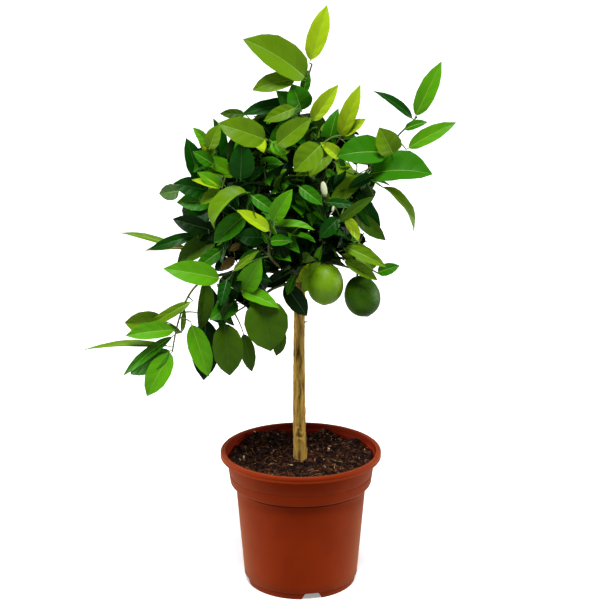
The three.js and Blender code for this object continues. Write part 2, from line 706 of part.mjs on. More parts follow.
// The sheet of a leaf: the triangles between its rims and its midrib, and their edges.
function leafSheet(rings) {
  const rows = rings.map((ring) => (ring.length > 1 ? ring.slice(0, 3) : [ring[0], ring[0], ring[0]]));
  const triangles = [];
  const edges = [];
  for (let index = 1; index < rows.length; index += 1) {
    const row = rows[index];
    const before = rows[index - 1];
    for (let side = 0; side < 2; side += 1) {
      triangles.push([before[side], before[side + 1], row[side + 1]]);
      triangles.push([before[side], row[side + 1], row[side]]);
      edges.push([row[side], row[side + 1]]);
    }
    for (let side = 0; side < 3; side += 1) {
      edges.push([before[side], row[side]]);
    }
  }
  return { middle: rows[1][1], points: spread(rings.slice(1)), triangles, edges };
}

function twigSheet(line) {
  const places = line.getPoints(SHEET_STEPS);
  const edges = places.slice(1).map((place, index) => [places[index], place]);
  return { middle: places[2], points: [], triangles: [], edges };
}

// Whether an edge goes through a triangle.
function pierces([from, to], [corner, second, third]) {
  const along = to.clone().sub(from);
  const one = second.clone().sub(corner);
  const two = third.clone().sub(corner);
  const slant = along.clone().cross(two);
  const scale = one.dot(slant);
  if (Math.abs(scale) < 1e-9) {
    return false;
  }
  const offset = from.clone().sub(corner);
  const u = offset.dot(slant) / scale;
  const turn = offset.cross(one);
  const v = along.dot(turn) / scale;
  const share = two.dot(turn) / scale;
  return u >= 0 && v >= 0 && u + v <= 1 && share >= 0 && share <= 1;
}

function crosses(sheet, other) {
  const hits = (edges, triangles) => edges.some((edge) => (
    triangles.some((triangle) => pierces(edge, triangle))));
  return hits(sheet.edges, other.triangles) || hits(other.edges, sheet.triangles);
}

const limbSheets = Object.values(limbs).map((limb) => twigSheet(limb.line));

// Whether a leaf lies in its mass's space and touches no limb.
function leafFits(name, rings) {
  return insideSpace(name, rings.flat()) && clearOfLimbs(spread(rings).slice(1), LEAF_CLEARANCE)
    && !limbSheets.some((limb) => crosses(leafSheet(rings), limb));
}

// Whether a leaf or twig lies apart from all that the mass already has.
function apart(sheet, sheets) {
  return sheets.every((other) => {
    if (sheet.middle.distanceTo(other.middle) > SHEET_SPAN) {
      return true;
    }
    const clear = sheet.points.every((point) => (
      other.points.every((place) => point.distanceTo(place) > BLADE_SPACING)));
    return clear && !crosses(sheet, other);
  });
}

// Twigs that reach by a seeded rule from the nearest shoot to spots round the mass's
// heart. Each has places for leaves along it, and each place has a few ways that its
// leaf may lie, mostly away from the heart, outwards and a little down.
function* seededTwigs(mass, lines) {
  const draw = numbersFrom(mass.seed);
  const between = (low, high) => low + (high - low) * draw();
  const anyWay = () => vector(between(-1, 1), between(-1, 1), between(-1, 1));
  const heart = vector(...mass.fill.heart);
  const middle = vector(...CROWN_MIDDLE);
  const feet = lines.flatMap((line) => TWIG_SHARES.map((share) => line.getPoint(share)));
  for (let trial = 0; trial < TWIG_TRIALS; trial += 1) {
    const spot = heart.clone().addScaledVector(anyWay(), mass.fill.reach);
    const foot = feet.reduce((near, place) => (
      place.distanceTo(spot) < near.distanceTo(spot) ? place : near));
    const line = limbLine(foot, spot, vector(0, 0, TWIG_ARCH * foot.distanceTo(spot)));
    const places = [];
    for (let place = 0; place < LEAVES_ON_TWIG; place += 1) {
      const root = line.getPoint(1 - (LEAFY_SHARE * place) / LEAVES_ON_TWIG);
      const outward = root.clone().sub(middle).normalize();
      const ways = [];
      for (let way = 0; way < LEAF_WAYS; way += 1) {
        const along = root.clone().sub(heart).normalize().multiplyScalar(LEAF_AIM.heart);
        along.addScaledVector(anyWay(), LEAF_AIM.any).addScaledVector(outward, LEAF_AIM.outward);
        along.add(vector(0, 0, -LEAF_AIM.down)).normalize();
        const upper = anyWay().multiplyScalar(LEAF_FACE.any).addScaledVector(outward, LEAF_FACE.outward);
        upper.add(vector(0, 0, LEAF_FACE.up));
        upper.addScaledVector(along, -upper.dot(along)).normalize();
        const length = between(...LEAF_LENGTHS);
        const width = length * between(...LEAF_SLENDER);
        ways.push(leafRings({ root, along, upper, length, width, stations: SEEDED_LEAF_STATIONS }));
      }
      places.push(ways);
    }
    yield { line, places };
  }
}

// A round closed body turned about a line from its top, hanging along its clock angle.
function hangingBody(top, clock, outline, sides) {
  const shape = turned(outline, sides);
  shape.applyQuaternion(new THREE.Quaternion().setFromUnitVectors(
    vector(0, 0, -1), leafPose(clock, 0, 0).along));
  shape.translate(top.x, top.y, top.z);
  return toSolid(shape);
}

// Fruit: an egg a little fuller towards its tip, from its stalk end downwards.
function fruitOutline() {
  const outline = [];
  for (let ring = 0; ring <= FRUIT_RINGS; ring += 1) {
    const turn = (Math.PI * ring) / FRUIT_RINGS;
    const fullness = Math.sin(turn) * (1 + FRUIT_NECK * Math.cos(turn));
    outline.push(new THREE.Vector2(FRUIT_RADIUS * fullness, -FRUIT_LENGTH / 2 * (1 + Math.cos(turn))));
  }
  outline[0].x = 0;
  outline[FRUIT_RINGS].x = 0;
  return outline;
}

function budOutline() {
  const outline = [];
  for (let ring = 0; ring <= BUD_RINGS; ring += 1) {
    const turn = (Math.PI * ring) / BUD_RINGS;
    outline.push(new THREE.Vector2(BUD_RADIUS * Math.sin(turn), -BUD_LENGTH / 2 * (1 + Math.cos(turn))));
  }
  outline[0].x = 0;
  outline[BUD_RINGS].x = 0;
  return outline;
}

// A twig starts slim, so that its foot is wholly inside the shoot that it leaves.
function twigRadius(share) {
  return share === 0 ? TWIG_FOOT_RADIUS : taper(TWIG_RADIUS, TWIG_RADIUS * TWIG_TIP_SHARE)(share);
}

function straight(from, to, radius) {
  return toSolid(limbSkin(limbLine(from, to, vector(0, 0, 0)), () => radius, 1, TWIG_SIDES));
}

function makeMass(name) {
  const mass = MASSES[name];
  const lines = [];
  const solids = [];
  const sheets = [];
  const addLeaf = (rings) => {
    solids.push(toSolid(skin(rings)));
    sheets.push(leafSheet(rings));
  };
  mass.shoots.forEach((shoot, index) => {
    const tip = vector(...shoot.tip);
    const line = index === 0
      ? stemLine(limbs[mass.bough].line, tip)
      : limbLine(lines[0].getPoint(shoot.from), tip, vector(...shoot.lift));
    const radius = index === 0 ? STEM_RADIUS : TWIG_RADIUS;
    lines.push(line);
    solids.push(toSolid(limbSkin(line, taper(radius, radius * TWIG_TIP_SHARE), 3, TWIG_SIDES)));
    sheets.push(twigSheet(line));
    for (const [share, clock, length, width, lean, turn] of shoot.leaves) {
      const root = line.getPoint(share);
      const pose = leafPose(clock, lean, turn);
      const rings = leafRings({ root, ...pose, length, width, stations: SHOWN_LEAF_STATIONS });
      if (leafFits(name, rings)) {
        addLeaf(rings);
      }
    }
  });
  for (const { shoot, share, top, clock } of mass.fruit ?? []) {
    const from = lines[shoot].getPoint(share);
    solids.push(straight(from, vector(...top).add(vector(0, 0, -STALK_DEPTH)), STALK_RADIUS));
    solids.push(hangingBody(vector(...top), clock, fruitOutline(), FRUIT_SIDES));
  }
  for (const { shoot, share, clock } of mass.buds ?? []) {
    solids.push(hangingBody(lines[shoot].getPoint(share), clock, budOutline(), BUD_SIDES));
  }
  let leafCount = 0;
  for (const { line, places } of seededTwigs(mass, lines)) {
    if (leafCount >= mass.fill.leaves) {
      break;
    }
    const track = TWIG_TRACK.map((share) => line.getPoint(share));
    const twig = twigSheet(line);
    if (insideSpace(name, track) && clearOfLimbs(track, TWIG_CLEARANCE) && apart(twig, sheets)) {
      const fitting = [];
      for (const ways of places) {
        const rings = ways.find((way) => insideCrown(way.flat()) && leafFits(name, way)
          && apart(leafSheet(way), [...sheets, ...fitting.map(leafSheet)]));
        if (rings) {
          fitting.push(rings);
        }
      }
      if (fitting.length > 1) {
        solids.push(toSolid(limbSkin(line, twigRadius, 2, TWIG_SIDES)));
        fitting.forEach(addLeaf);
        sheets.push(twig);
        leafCount += fitting.length;
      }
    }
  }
  return toGeometry(joined(solids));
}

// The whole plant
const tree = new THREE.Group();

function addPart(name, geometry, finish) {
  const mesh = new THREE.Mesh(geometry, new THREE.MeshStandardMaterial({ metalness: 0, ...finish }));
  mesh.name = name;
  tree.add(mesh);
}

addPart('pot', makePot(), COLOURS.pot);
addPart('soil', makeSoil(), COLOURS.soil);
addPart('trunk', makeLimb('trunk'), COLOURS.bark);
for (const name of Object.keys(BOUGHS)) {
  addPart(name, makeLimb(name), COLOURS.bough);
}
for (const name of Object.keys(MASSES)) {
  addPart(name, makeMass(name), COLOURS.foliage);
}

export default tree;
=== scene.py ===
"""A young lemon tree in a round plastic nursery pot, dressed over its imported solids.

The tables are in millimetres with Z up and the side shown first towards -Y, as in the part's own
source, and every mesh is made in metres.
"""

import math

import bmesh
import bpy
import numpy as np
from mathutils import Matrix, Vector, noise


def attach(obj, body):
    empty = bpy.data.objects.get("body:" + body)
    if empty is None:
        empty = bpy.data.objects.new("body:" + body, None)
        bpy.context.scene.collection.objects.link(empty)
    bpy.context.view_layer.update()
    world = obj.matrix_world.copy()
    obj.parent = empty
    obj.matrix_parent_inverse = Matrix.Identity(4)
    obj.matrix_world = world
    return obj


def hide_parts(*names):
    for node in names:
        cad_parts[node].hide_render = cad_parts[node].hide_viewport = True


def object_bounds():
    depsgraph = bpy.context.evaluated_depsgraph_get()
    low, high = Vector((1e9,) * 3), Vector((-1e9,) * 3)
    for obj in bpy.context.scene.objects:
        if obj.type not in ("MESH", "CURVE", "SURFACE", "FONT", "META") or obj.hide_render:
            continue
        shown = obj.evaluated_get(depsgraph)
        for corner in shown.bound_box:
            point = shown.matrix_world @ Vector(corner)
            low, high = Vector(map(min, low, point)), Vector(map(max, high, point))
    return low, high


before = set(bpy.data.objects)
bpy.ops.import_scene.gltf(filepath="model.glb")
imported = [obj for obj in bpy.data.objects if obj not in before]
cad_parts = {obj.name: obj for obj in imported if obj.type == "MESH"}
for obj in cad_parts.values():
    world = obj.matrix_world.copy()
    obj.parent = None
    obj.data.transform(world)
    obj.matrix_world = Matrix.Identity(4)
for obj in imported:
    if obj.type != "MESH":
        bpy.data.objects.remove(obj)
solid_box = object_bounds()

MM = 0.001
SMOOTH_ALL_OVER = 180

# The pot, as in the source but for its deeper rim, its opening and the line round its collar
POT_HEIGHT = 172
POT_WALL = 1.5
RIM_RADIUS = 100
RIM_INNER_RADIUS = 94
RIM_DEPTH = 7.8
RIM_GROOVE = 0.5
RIM_RECESS = 0.7
RIM_BEAD = 2.6
RIM_LOWER_BEAD = 1.3
COLLAR_TOP_RADIUS = 92.4
COLLAR_FOOT_RADIUS = 88
COLLAR_FOOT_HEIGHT = 132.3
COLLAR_UNDER_HEIGHT = 130
COLLAR_UNDER_RADIUS = 86.2
COLLAR_LINE_HEIGHT = 145
COLLAR_LINE_DEPTH = 0.9
CHAMFER_HEIGHT = 127.6
CHAMFER_RADIUS = 83.2
SHOULDER_HEIGHT = 126
SHOULDER_RADIUS = 81
BODY_FOOT_RADIUS = 71.3
FOOT_HEIGHT = 8.6
FOOT_STEP = 0.8
FOOT_TOP_RADIUS = 69.6
FOOT_RADIUS = 68.3
FOOT_RING_DEPTH = 3
PAD_RADIUS = 24
PAD_SLOPE = 6
POT_SIDES = 144
NOTCH_COUNT = 4
NOTCH_WIDTH = 25
NOTCH_TOP_WIDTH = 17
NOTCH_HEIGHT = 8
NOTCH_TURN = 11.5
DRAIN_COUNT = 6
DRAIN_RADIUS = 4.5
DRAIN_CIRCLE = 46
DRAIN_SIDES = 24
NOTCH_FOOT_SPREAD = 1.12
NOTCH_REACH = 8
NOTCH_DIP = 2
NOTCH_ROUNDING = 1.6
BODY_RINGS = 12
EASE = 0.3
POT_SHARP_ANGLE = 32
# The pot's finishes: the first is the outside's; the inside wall's and the band under the collar's are darker
# copies of it, as painted shade
INSIDE_SHADE_SLOT = 1
COLLAR_SHADE_SLOT = 2
PLASTIC_PATCHES = 22
PLASTIC_GRAIN = 900
PLASTIC_GRAIN_DEPTH = 0.00005

# The soil
SOIL_HEIGHT = 155.5
SOIL_RISE = 5
SOIL_LUMP = 2.4
SOIL_SEAT_RADIUS = 14
SOIL_SIDE_CLEARANCE = 2.8
SOIL_EDGE_CLEARANCE = 0.9
SOIL_SIDES = 160
SOIL_RINGS = 56
SOIL_MOUND = 5.5
SOIL_MOUND_RADIUS = 22
CRUMB_COUNT = 1900
CLOD_COUNT = 46
FIBRE_COUNT = 300
CHIP_COUNT = 130
CRUMB_INNER_RADIUS = 11
CRUMB_LEAST = 0.9
CRUMB_MORE = 2.2
CLOD_MORE = 2.2
FIBRE_REACH = (2, 7)
FIBRE_WIDTH = (0.3, 0.7)
CRUMB_ROUGHNESS = (0.6, 1.25)
FIBRE_LIFT = 0.7
FIBRE_SLOPE = 0.25
FIBRE_CURL = 1.4
CHIP_SIZE = (1.2, 3.6)
CHIP_ROUGHNESS = (0.75, 1.1)
CHIP_WIDTH = (0.35, 0.7)
CHIP_THICKNESS = 0.3
CHIP_LIFT = 0.8
# What share of the crumbs is dark, of the fibres brown, of the chips cream, and cream or tan
DARK_CRUMB_SHARE = 0.62
BROWN_FIBRE_SHARE = 0.75
CREAM_CHIP_SHARE = 0.12
PALE_CHIP_SHARE = 0.4

# The trunk
GAP = 0.3
FORK_HEIGHT = 411
TRUNK_FOOT_RADIUS = 8.2
TRUNK_FORK_RADIUS = 6.1
TRUNK_FLARE = 0.7
FLARE_HEIGHT = 9
TRUNK_SWAY = -1.9
TRUNK_LEAN = 0.6
TRUNK_SIDES = 72
TRUNK_STEPS = 230
FISSURE_DEPTH = 0.5
TRUNK_END_SHARE = 0.025
TRUNK_END_NARROWING = 0.3

# Limbs, twigs and leaves
STEM_RADIUS = 1.6
TWIG_RADIUS = 1.2
STEM_BEND_SHARE = 0.35
LIMB_POINT_SPACING = 4
LEAF_THICKNESS = 1
LEAF_ROOT_DEPTH = 0.5
LEAF_FOLD = 14
LEAF_BEND = 26
SPACE_MARGIN = 0.4
SHEET_STEPS = 4
TWIG_SHARES = (0.15, 0.4, 0.65, 0.9)
TWIG_TRACK = (0.1, 0.4, 0.7, 1)
TWIG_ARCH = 0.05
LEAFY_SHARE = 0.7
AIM_HEART = 0.5
AIM_ANY = 1.2
AIM_OUTWARD = 0.3
AIM_DOWN = 0.15
FACE_ANY = 0.45
FACE_OUTWARD = 0.5
FACE_UP = 0.8
LEAF_SLENDER = (0.42, 0.54)
SHOWN_STATIONS = ((0.3, 1.04), (0.67, 0.94))
SEEDED_STATIONS = ((0.48, 1.1),)

# How twigs are seeded: first as in the source, then finer ones between them, and last ones in the
# shade, which aren't kept apart from others.
SOURCE_HABIT = {
    "trials": 400, "leaves_on_twig": 4, "ways": 10, "lengths": (38, 62),
    "leaf_clearance": 2.6, "twig_clearance": 2, "spacing": 2.4, "fewest": 2, "keeps_view": False,
}
FINE_HABIT = {
    "trials": 140, "leaves_on_twig": 4, "ways": 8, "lengths": (34, 56),
    "leaf_clearance": 0.9, "twig_clearance": 0.8, "spacing": 0.6, "fewest": 1, "keeps_view": True,
}
SHADE_HABIT = {
    "trials": 30, "leaves_on_twig": 5, "ways": 8, "lengths": (42, 62),
    "leaf_clearance": 0.4, "twig_clearance": 0.4, "spacing": None, "fewest": 1, "keeps_view": True,
}
FINE_LEAVES = 30
SHADE_LEAVES = 16
FINE_SEED = 500
BOX_EASE = 1.5
# Shares of a shoot from which a twig may leave for a leaf told by its place
SPUR_FEET = np.linspace(0.2, 1, 17)
# Where points are spread between two rings of a leaf
NEARER_SHARE = 0.3
FURTHER_SHARE = 0.6

# The camera's place, from which the told leaves are seen, and how far behind a leaf it may hide one
EYE = np.array([-1.0, -1900.0, 886.9])
HIDE_START = 2
HIDE_REACH = 260

CROWN_MIDDLE = np.array([-18.0, 5.0, 490.0])
CROWN_RADII = np.array([128.0, 118.0, 106.0])
LOBE_MIDDLE = np.array([-72.0, -58.0, 378.0])
LOBE_RADII = np.array([56.0, 48.0, 52.0])

# Fruit and blossom
FRUIT_LENGTH = 50
FRUIT_RADIUS = 21.2
FRUIT_NECK = 0.06
STALK_RADIUS = 1.3
STALK_DEPTH = 4
NIPPLE_LENGTH = 1.6
NIPPLE_BREADTH = 0.16
DIMPLE_DEPTH = 1.4
DIMPLE_BREADTH = 0.2
FRUIT_LOBES = 5
FRUIT_LOBE_DEPTH = 0.008
FRUIT_TIP_DEPTH = 1.2
PEEL_PATCHES = 55
PEEL_ROUGHNESS = 0.33
PEEL_GRAIN = 620
PEEL_GRAIN_DEPTH = 0.0006
CALYX_RADII = (2.4, 4.2)
CALYX_REACH = (0.6, 1.6)
BUD_LENGTH = 15
BUD_RADIUS = 3
BUD_LOBES = 5
BUD_LOBE_DEPTH = 0.07
BUD_CUP_SHARE = 0.16

# Each bough: what it leaves, at what share of that, the place of its tip, how far its middle is
# lifted, and its radius at the foot and at the tip.
BOUGHS = {
    "bough_leader": ("trunk", 0.985, (-2, 3, 545), (7, 4, 0), (4.6, 1.9)),
    "bough_top_right": ("bough_leader", 0.5, (30, -4, 534), (4, 0, -4), (2.2, 1.5)),
    "bough_upper_left": ("bough_leader", 0.22, (-50, -18, 500), (-4, 0, -6), (2.6, 1.6)),
    "bough_middle": ("bough_leader", 0.36, (-8, -34, 474), (0, -4, -4), (2.1, 1.5)),
    "bough_left": ("trunk", 0.965, (-64, -20, 452), (-4, 0, -5), (2.8, 1.7)),
    "bough_spray": ("trunk", 0.925, (-108, -38, 402), (4, 0, 9), (3, 1.7)),
    "bough_low_left": ("trunk", 0.885, (-42, -44, 384), (0, 0, 6), (2.4, 1.6)),
    "bough_front": ("trunk", 0.955, (-33, -72, 432), (0, -6, -4), (2.4, 1.5)),
    "bough_fruit": ("trunk", 0.92, (13, -38, 417), (0, -3, 0), (2.3, 1.7)),
    "bough_low_right": ("trunk", 0.97, (46, -30, 424), (0, 0, 4), (2.4, 1.6)),
    "bough_right": ("bough_leader", 0.12, (52, -28, 486), (5, 0, -6), (2.8, 1.8)),
    "bough_back_left": ("trunk", 0.95, (-48, 44, 452), (0, 0, -5), (2.6, 1.6)),
    "bough_back_right": ("trunk", 0.965, (46, 42, 458), (0, 0, -6), (2.6, 1.6)),
    "bough_back_low": ("trunk", 0.9, (4, 46, 410), (0, 0, 3), (2.3, 1.6)),
    "bough_back_top": ("bough_leader", 0.42, (-4, 36, 518), (0, 4, -4), (2.3, 1.6)),
}

# Each mass: its bough, seed, space (middle, girth), fill (heart, reach, leaves) and shoots. The first
# shoot grows on from the bough's tip. A shoot is a row: at what share it leaves the first one, or
# None, then its tip, its lift and its leaves. A leaf is a row: share of the shoot, clock angle seen
# from the front, length, width, lean to the front, turn of its face, tint, and for some how far it
# bends.
MASSES = {
    "crown_top": {
        "bough": "bough_leader", "seed": 43,
        "space": ((-15.5, -1.8, 578), 49), "fill": ((-8, -2, 574), 26, 8),
        "shoots": [
            (None, (13, -5, 650), None, [
                (0.6, -173, 74, 20, 10, 40, "deep", 50), (0.43, -138, 52, 27, 22, 15, "mid"),
                (0.48, 129, 44, 27, 15, 20, "mid"), (0.72, 78, 30, 12, 0, 0, "mid"),
                (0.86, 147, 94, 44, 6, 28, "olive", 65),
            ]),
        ],
    },
    "crown_top_right": {
        "bough": "bough_top_right", "seed": 41,
        "space": ((21.6, -0.5, 553.8), 40), "fill": ((32, -6, 556), 24, 12),
        "shoots": [
            (None, (49, -15, 568), None, [
                (0.9, 70, 70, 21, 5, 10, "yellow"), (0.98, 38, 36, 15, 10, 30, "yellow"),
                (0.55, -132, 46, 22, 25, 15, "olive"), (0.6, 160, 30, 17, 30, 30, "dark"),
                (0.22, 77, 60, 22, -12, 25, "mid"),
            ]),
        ],
    },
    "crown_upper_left": {
        "bough": "bough_upper_left", "seed": 44,
        "space": ((-63.4, -54.5, 538.6), 45.1), "fill": ((-68, -34, 540), 32, 20),
        "shoots": [
            (None, (-40, -42, 566), None, [(0.6, 8, 34, 18, 20, 40, "mid")]),
            (0.25, (-110, -30, 552), (0, 0, -5), [
                (0.97, 71, 38, 20, 20, 15, "olive"), (0.9, 119, 38, 15, 25, 20, "yellow"),
                (0.72, 99, 54, 22, -10, 50, "deep"), (0.85, -150, 34, 16, 35, 30, "mid"),
                (0.45, 152, 46, 20, 25, 35, "bright"), (0.35, 166, 44, 18, 30, 45, "olive"),
            ]),
        ],
    },
    "crown_left": {
        "bough": "bough_left", "seed": 34,
        "space": ((-113.9, -21.9, 473.8), 44), "fill": ((-92, -26, 468), 32, 14),
        "shoots": [
            (None, (-113, -32, 500), None, [
                (0.85, 178, 44, 24, 12, 20, "mid"),
                (0.78, -152, 46, 24, 24, 20, "deep"), (0.35, -160, 58, 25, 10, 10, "dark"),
                (0.99, 113, 36, 20, 0, 5, "deep"),
            ]),
            (0.12, (-140, -36, 433), (0, 0, 4), [
                (0.42, -147, 60, 28, 10, 20, "moss", 50), (0.97, 165, 80, 10, -4, 50, "olive"),
                (0.9, -179, 52, 12, 10, 55, "brown"),
            ]),
        ],
    },
    "crown_low_left": {
        "bough": "bough_low_left", "seed": 42,
        "space": ((-74.3, -85.3, 382), 48.6), "fill": ((-70, -70, 388), 30, 16),
        "shoots": [
            (None, (-93, -76, 411), None, [
                (0.98, 166, 72, 29, 12, 25, "bright"), (0.62, 63, 56, 27, 20, 10, "bright"),
                (0.66, -18, 54, 20, 22, 35, "bright"), (0.45, -61, 18, 10, 20, 10, "bright"),
            ]),
            (0.12, (-92, -66, 357), (0, 0, 0), [
                (0.98, -84, 68, 42, 5, 10, "moss"), (0.12, -62, 60, 22, -8, 30, "dark"),
            ]),
        ],
    },
    "crown_spray": {
        "bough": "bough_spray", "seed": 16,
        "space": ((-134, -35, 354), 46), "fill": ((-130, -42, 360), 24, 2),
        "shoots": [
            (None, (-153, -52, 314), None, [
                (0.06, -98, 64, 23, 10, 20, "moss"), (0.14, -72, 62, 24, -14, 10, "dark"),
                (0.82, -177, 62, 24, 12, 30, "bright", 44), (0.96, -178, 108, 11, 0, 55, "olive"),
                (0.86, -141, 84, 14, 0, 25, "mid"), (0.98, -147, 64, 26, -8, 20, "mid"),
                (0.99, -120, 64, 29, 10, 15, "bright"),
            ]),
        ],
    },
    "crown_front": {
        "bough": "bough_front", "seed": 43,
        "space": ((-19, -96, 485), 43), "fill": ((-26, -78, 454), 34, 18),
        "shoots": [
            (None, (-31, -92, 484), None, [
                (0.6, 6, 30, 15, 20, 35, "mid"), (0.55, 120, 18, 8, 10, 20, "mid"),
                (0.8, 144, 50, 17, 15, 35, "yellow"), (0.92, -5, 50, 14, 10, 55, "bright"),
                (0.97, 61, 48, 24, 12, 15, "bright"),
            ]),
        ],
    },
    "crown_right": {
        "bough": "bough_right", "seed": 44,
        "space": ((75.7, -48.9, 514.2), 52.5), "fill": ((62, -34, 508), 32, 18),
        "shoots": [
            (None, (134, -40, 594), None, [
                (0.42, -140, 58, 20, 15, 20, "olive"), (0.2, -56, 60, 22, 8, 20, "deep"),
                (0.06, -57, 36, 16, 25, 20, "dark"), (0.88, 20, 30, 12, 10, 40, "mid"),
                (0.97, 144, 60, 13, 5, 35, "deep"),
            ]),
        ],
    },
    "crown_low_right": {
        "bough": "bough_low_right", "seed": 42,
        "space": ((41.7, -50.4, 428.5), 41.5), "fill": ((58, -36, 432), 26, 14),
        "shoots": [
            (None, (92, -42, 408), None, [
                (0.97, 22, 30, 16, 15, 20, "mid"), (0.9, 125, 50, 27, 20, 15, "olive"),
                (0.8, 146, 46, 20, 28, 35, "olive"), (0.6, 94, 32, 16, 20, 20, "yellow"),
            ]),
        ],
    },
    "crown_fruit": {
        "bough": "bough_fruit", "seed": 33,
        "space": ((31.9, -51.5, 415.3), 46.1), "fill": ((14, -36, 410), 26, 8),
        "shoots": [
            (None, (69, -45, 412), None, [
                (0.2, -132, 32, 15, 10, 15, "yellow"), (0.24, 75, 26, 10, 20, 20, "bright"),
            ]),
            (0.16, (-22, -45, 396), (0, -5, 2), [
                (0.95, -56, 50, 24, 0, 10, "dark"), (0.6, -112, 26, 12, 15, 20, "mid"),
            ]),
        ],
    },
    "crown_middle": {
        "bough": "bough_middle", "seed": 41,
        "space": ((-6.6, -64.3, 497.4), 40.7), "fill": ((2, -40, 494), 34, 20),
        "shoots": [
            (None, (-14, -58, 512), None, []),
            (0.2, (26, -56, 512), (0, 0, 3), []),
        ],
    },
    "crown_back_left": {
        "bough": "bough_back_left", "seed": 22,
        "space": ((-70, 65, 472), 45), "fill": ((-62, 48, 480), 38, 20),
        "shoots": [(None, (-84, 70, 496), None, [])],
    },
    "crown_back_right": {
        "bough": "bough_back_right", "seed": 23,
        "space": ((69, 60, 484), 45), "fill": ((48, 48, 488), 38, 20),
        "shoots": [(None, (82, 68, 504), None, [])],
    },
    "crown_back_low": {
        "bough": "bough_back_low", "seed": 24,
        "space": ((3, 70, 414), 45), "fill": ((-4, 58, 424), 36, 16),
        "shoots": [(None, (6, 84, 420), None, [])],
    },
    "crown_back_top": {
        "bough": "bough_back_top", "seed": 25,
        "space": ((-10, 45, 564), 48), "fill": ((-10, 44, 552), 34, 22),
        "shoots": [(None, (-10, 58, 566), None, [])],
    },
}

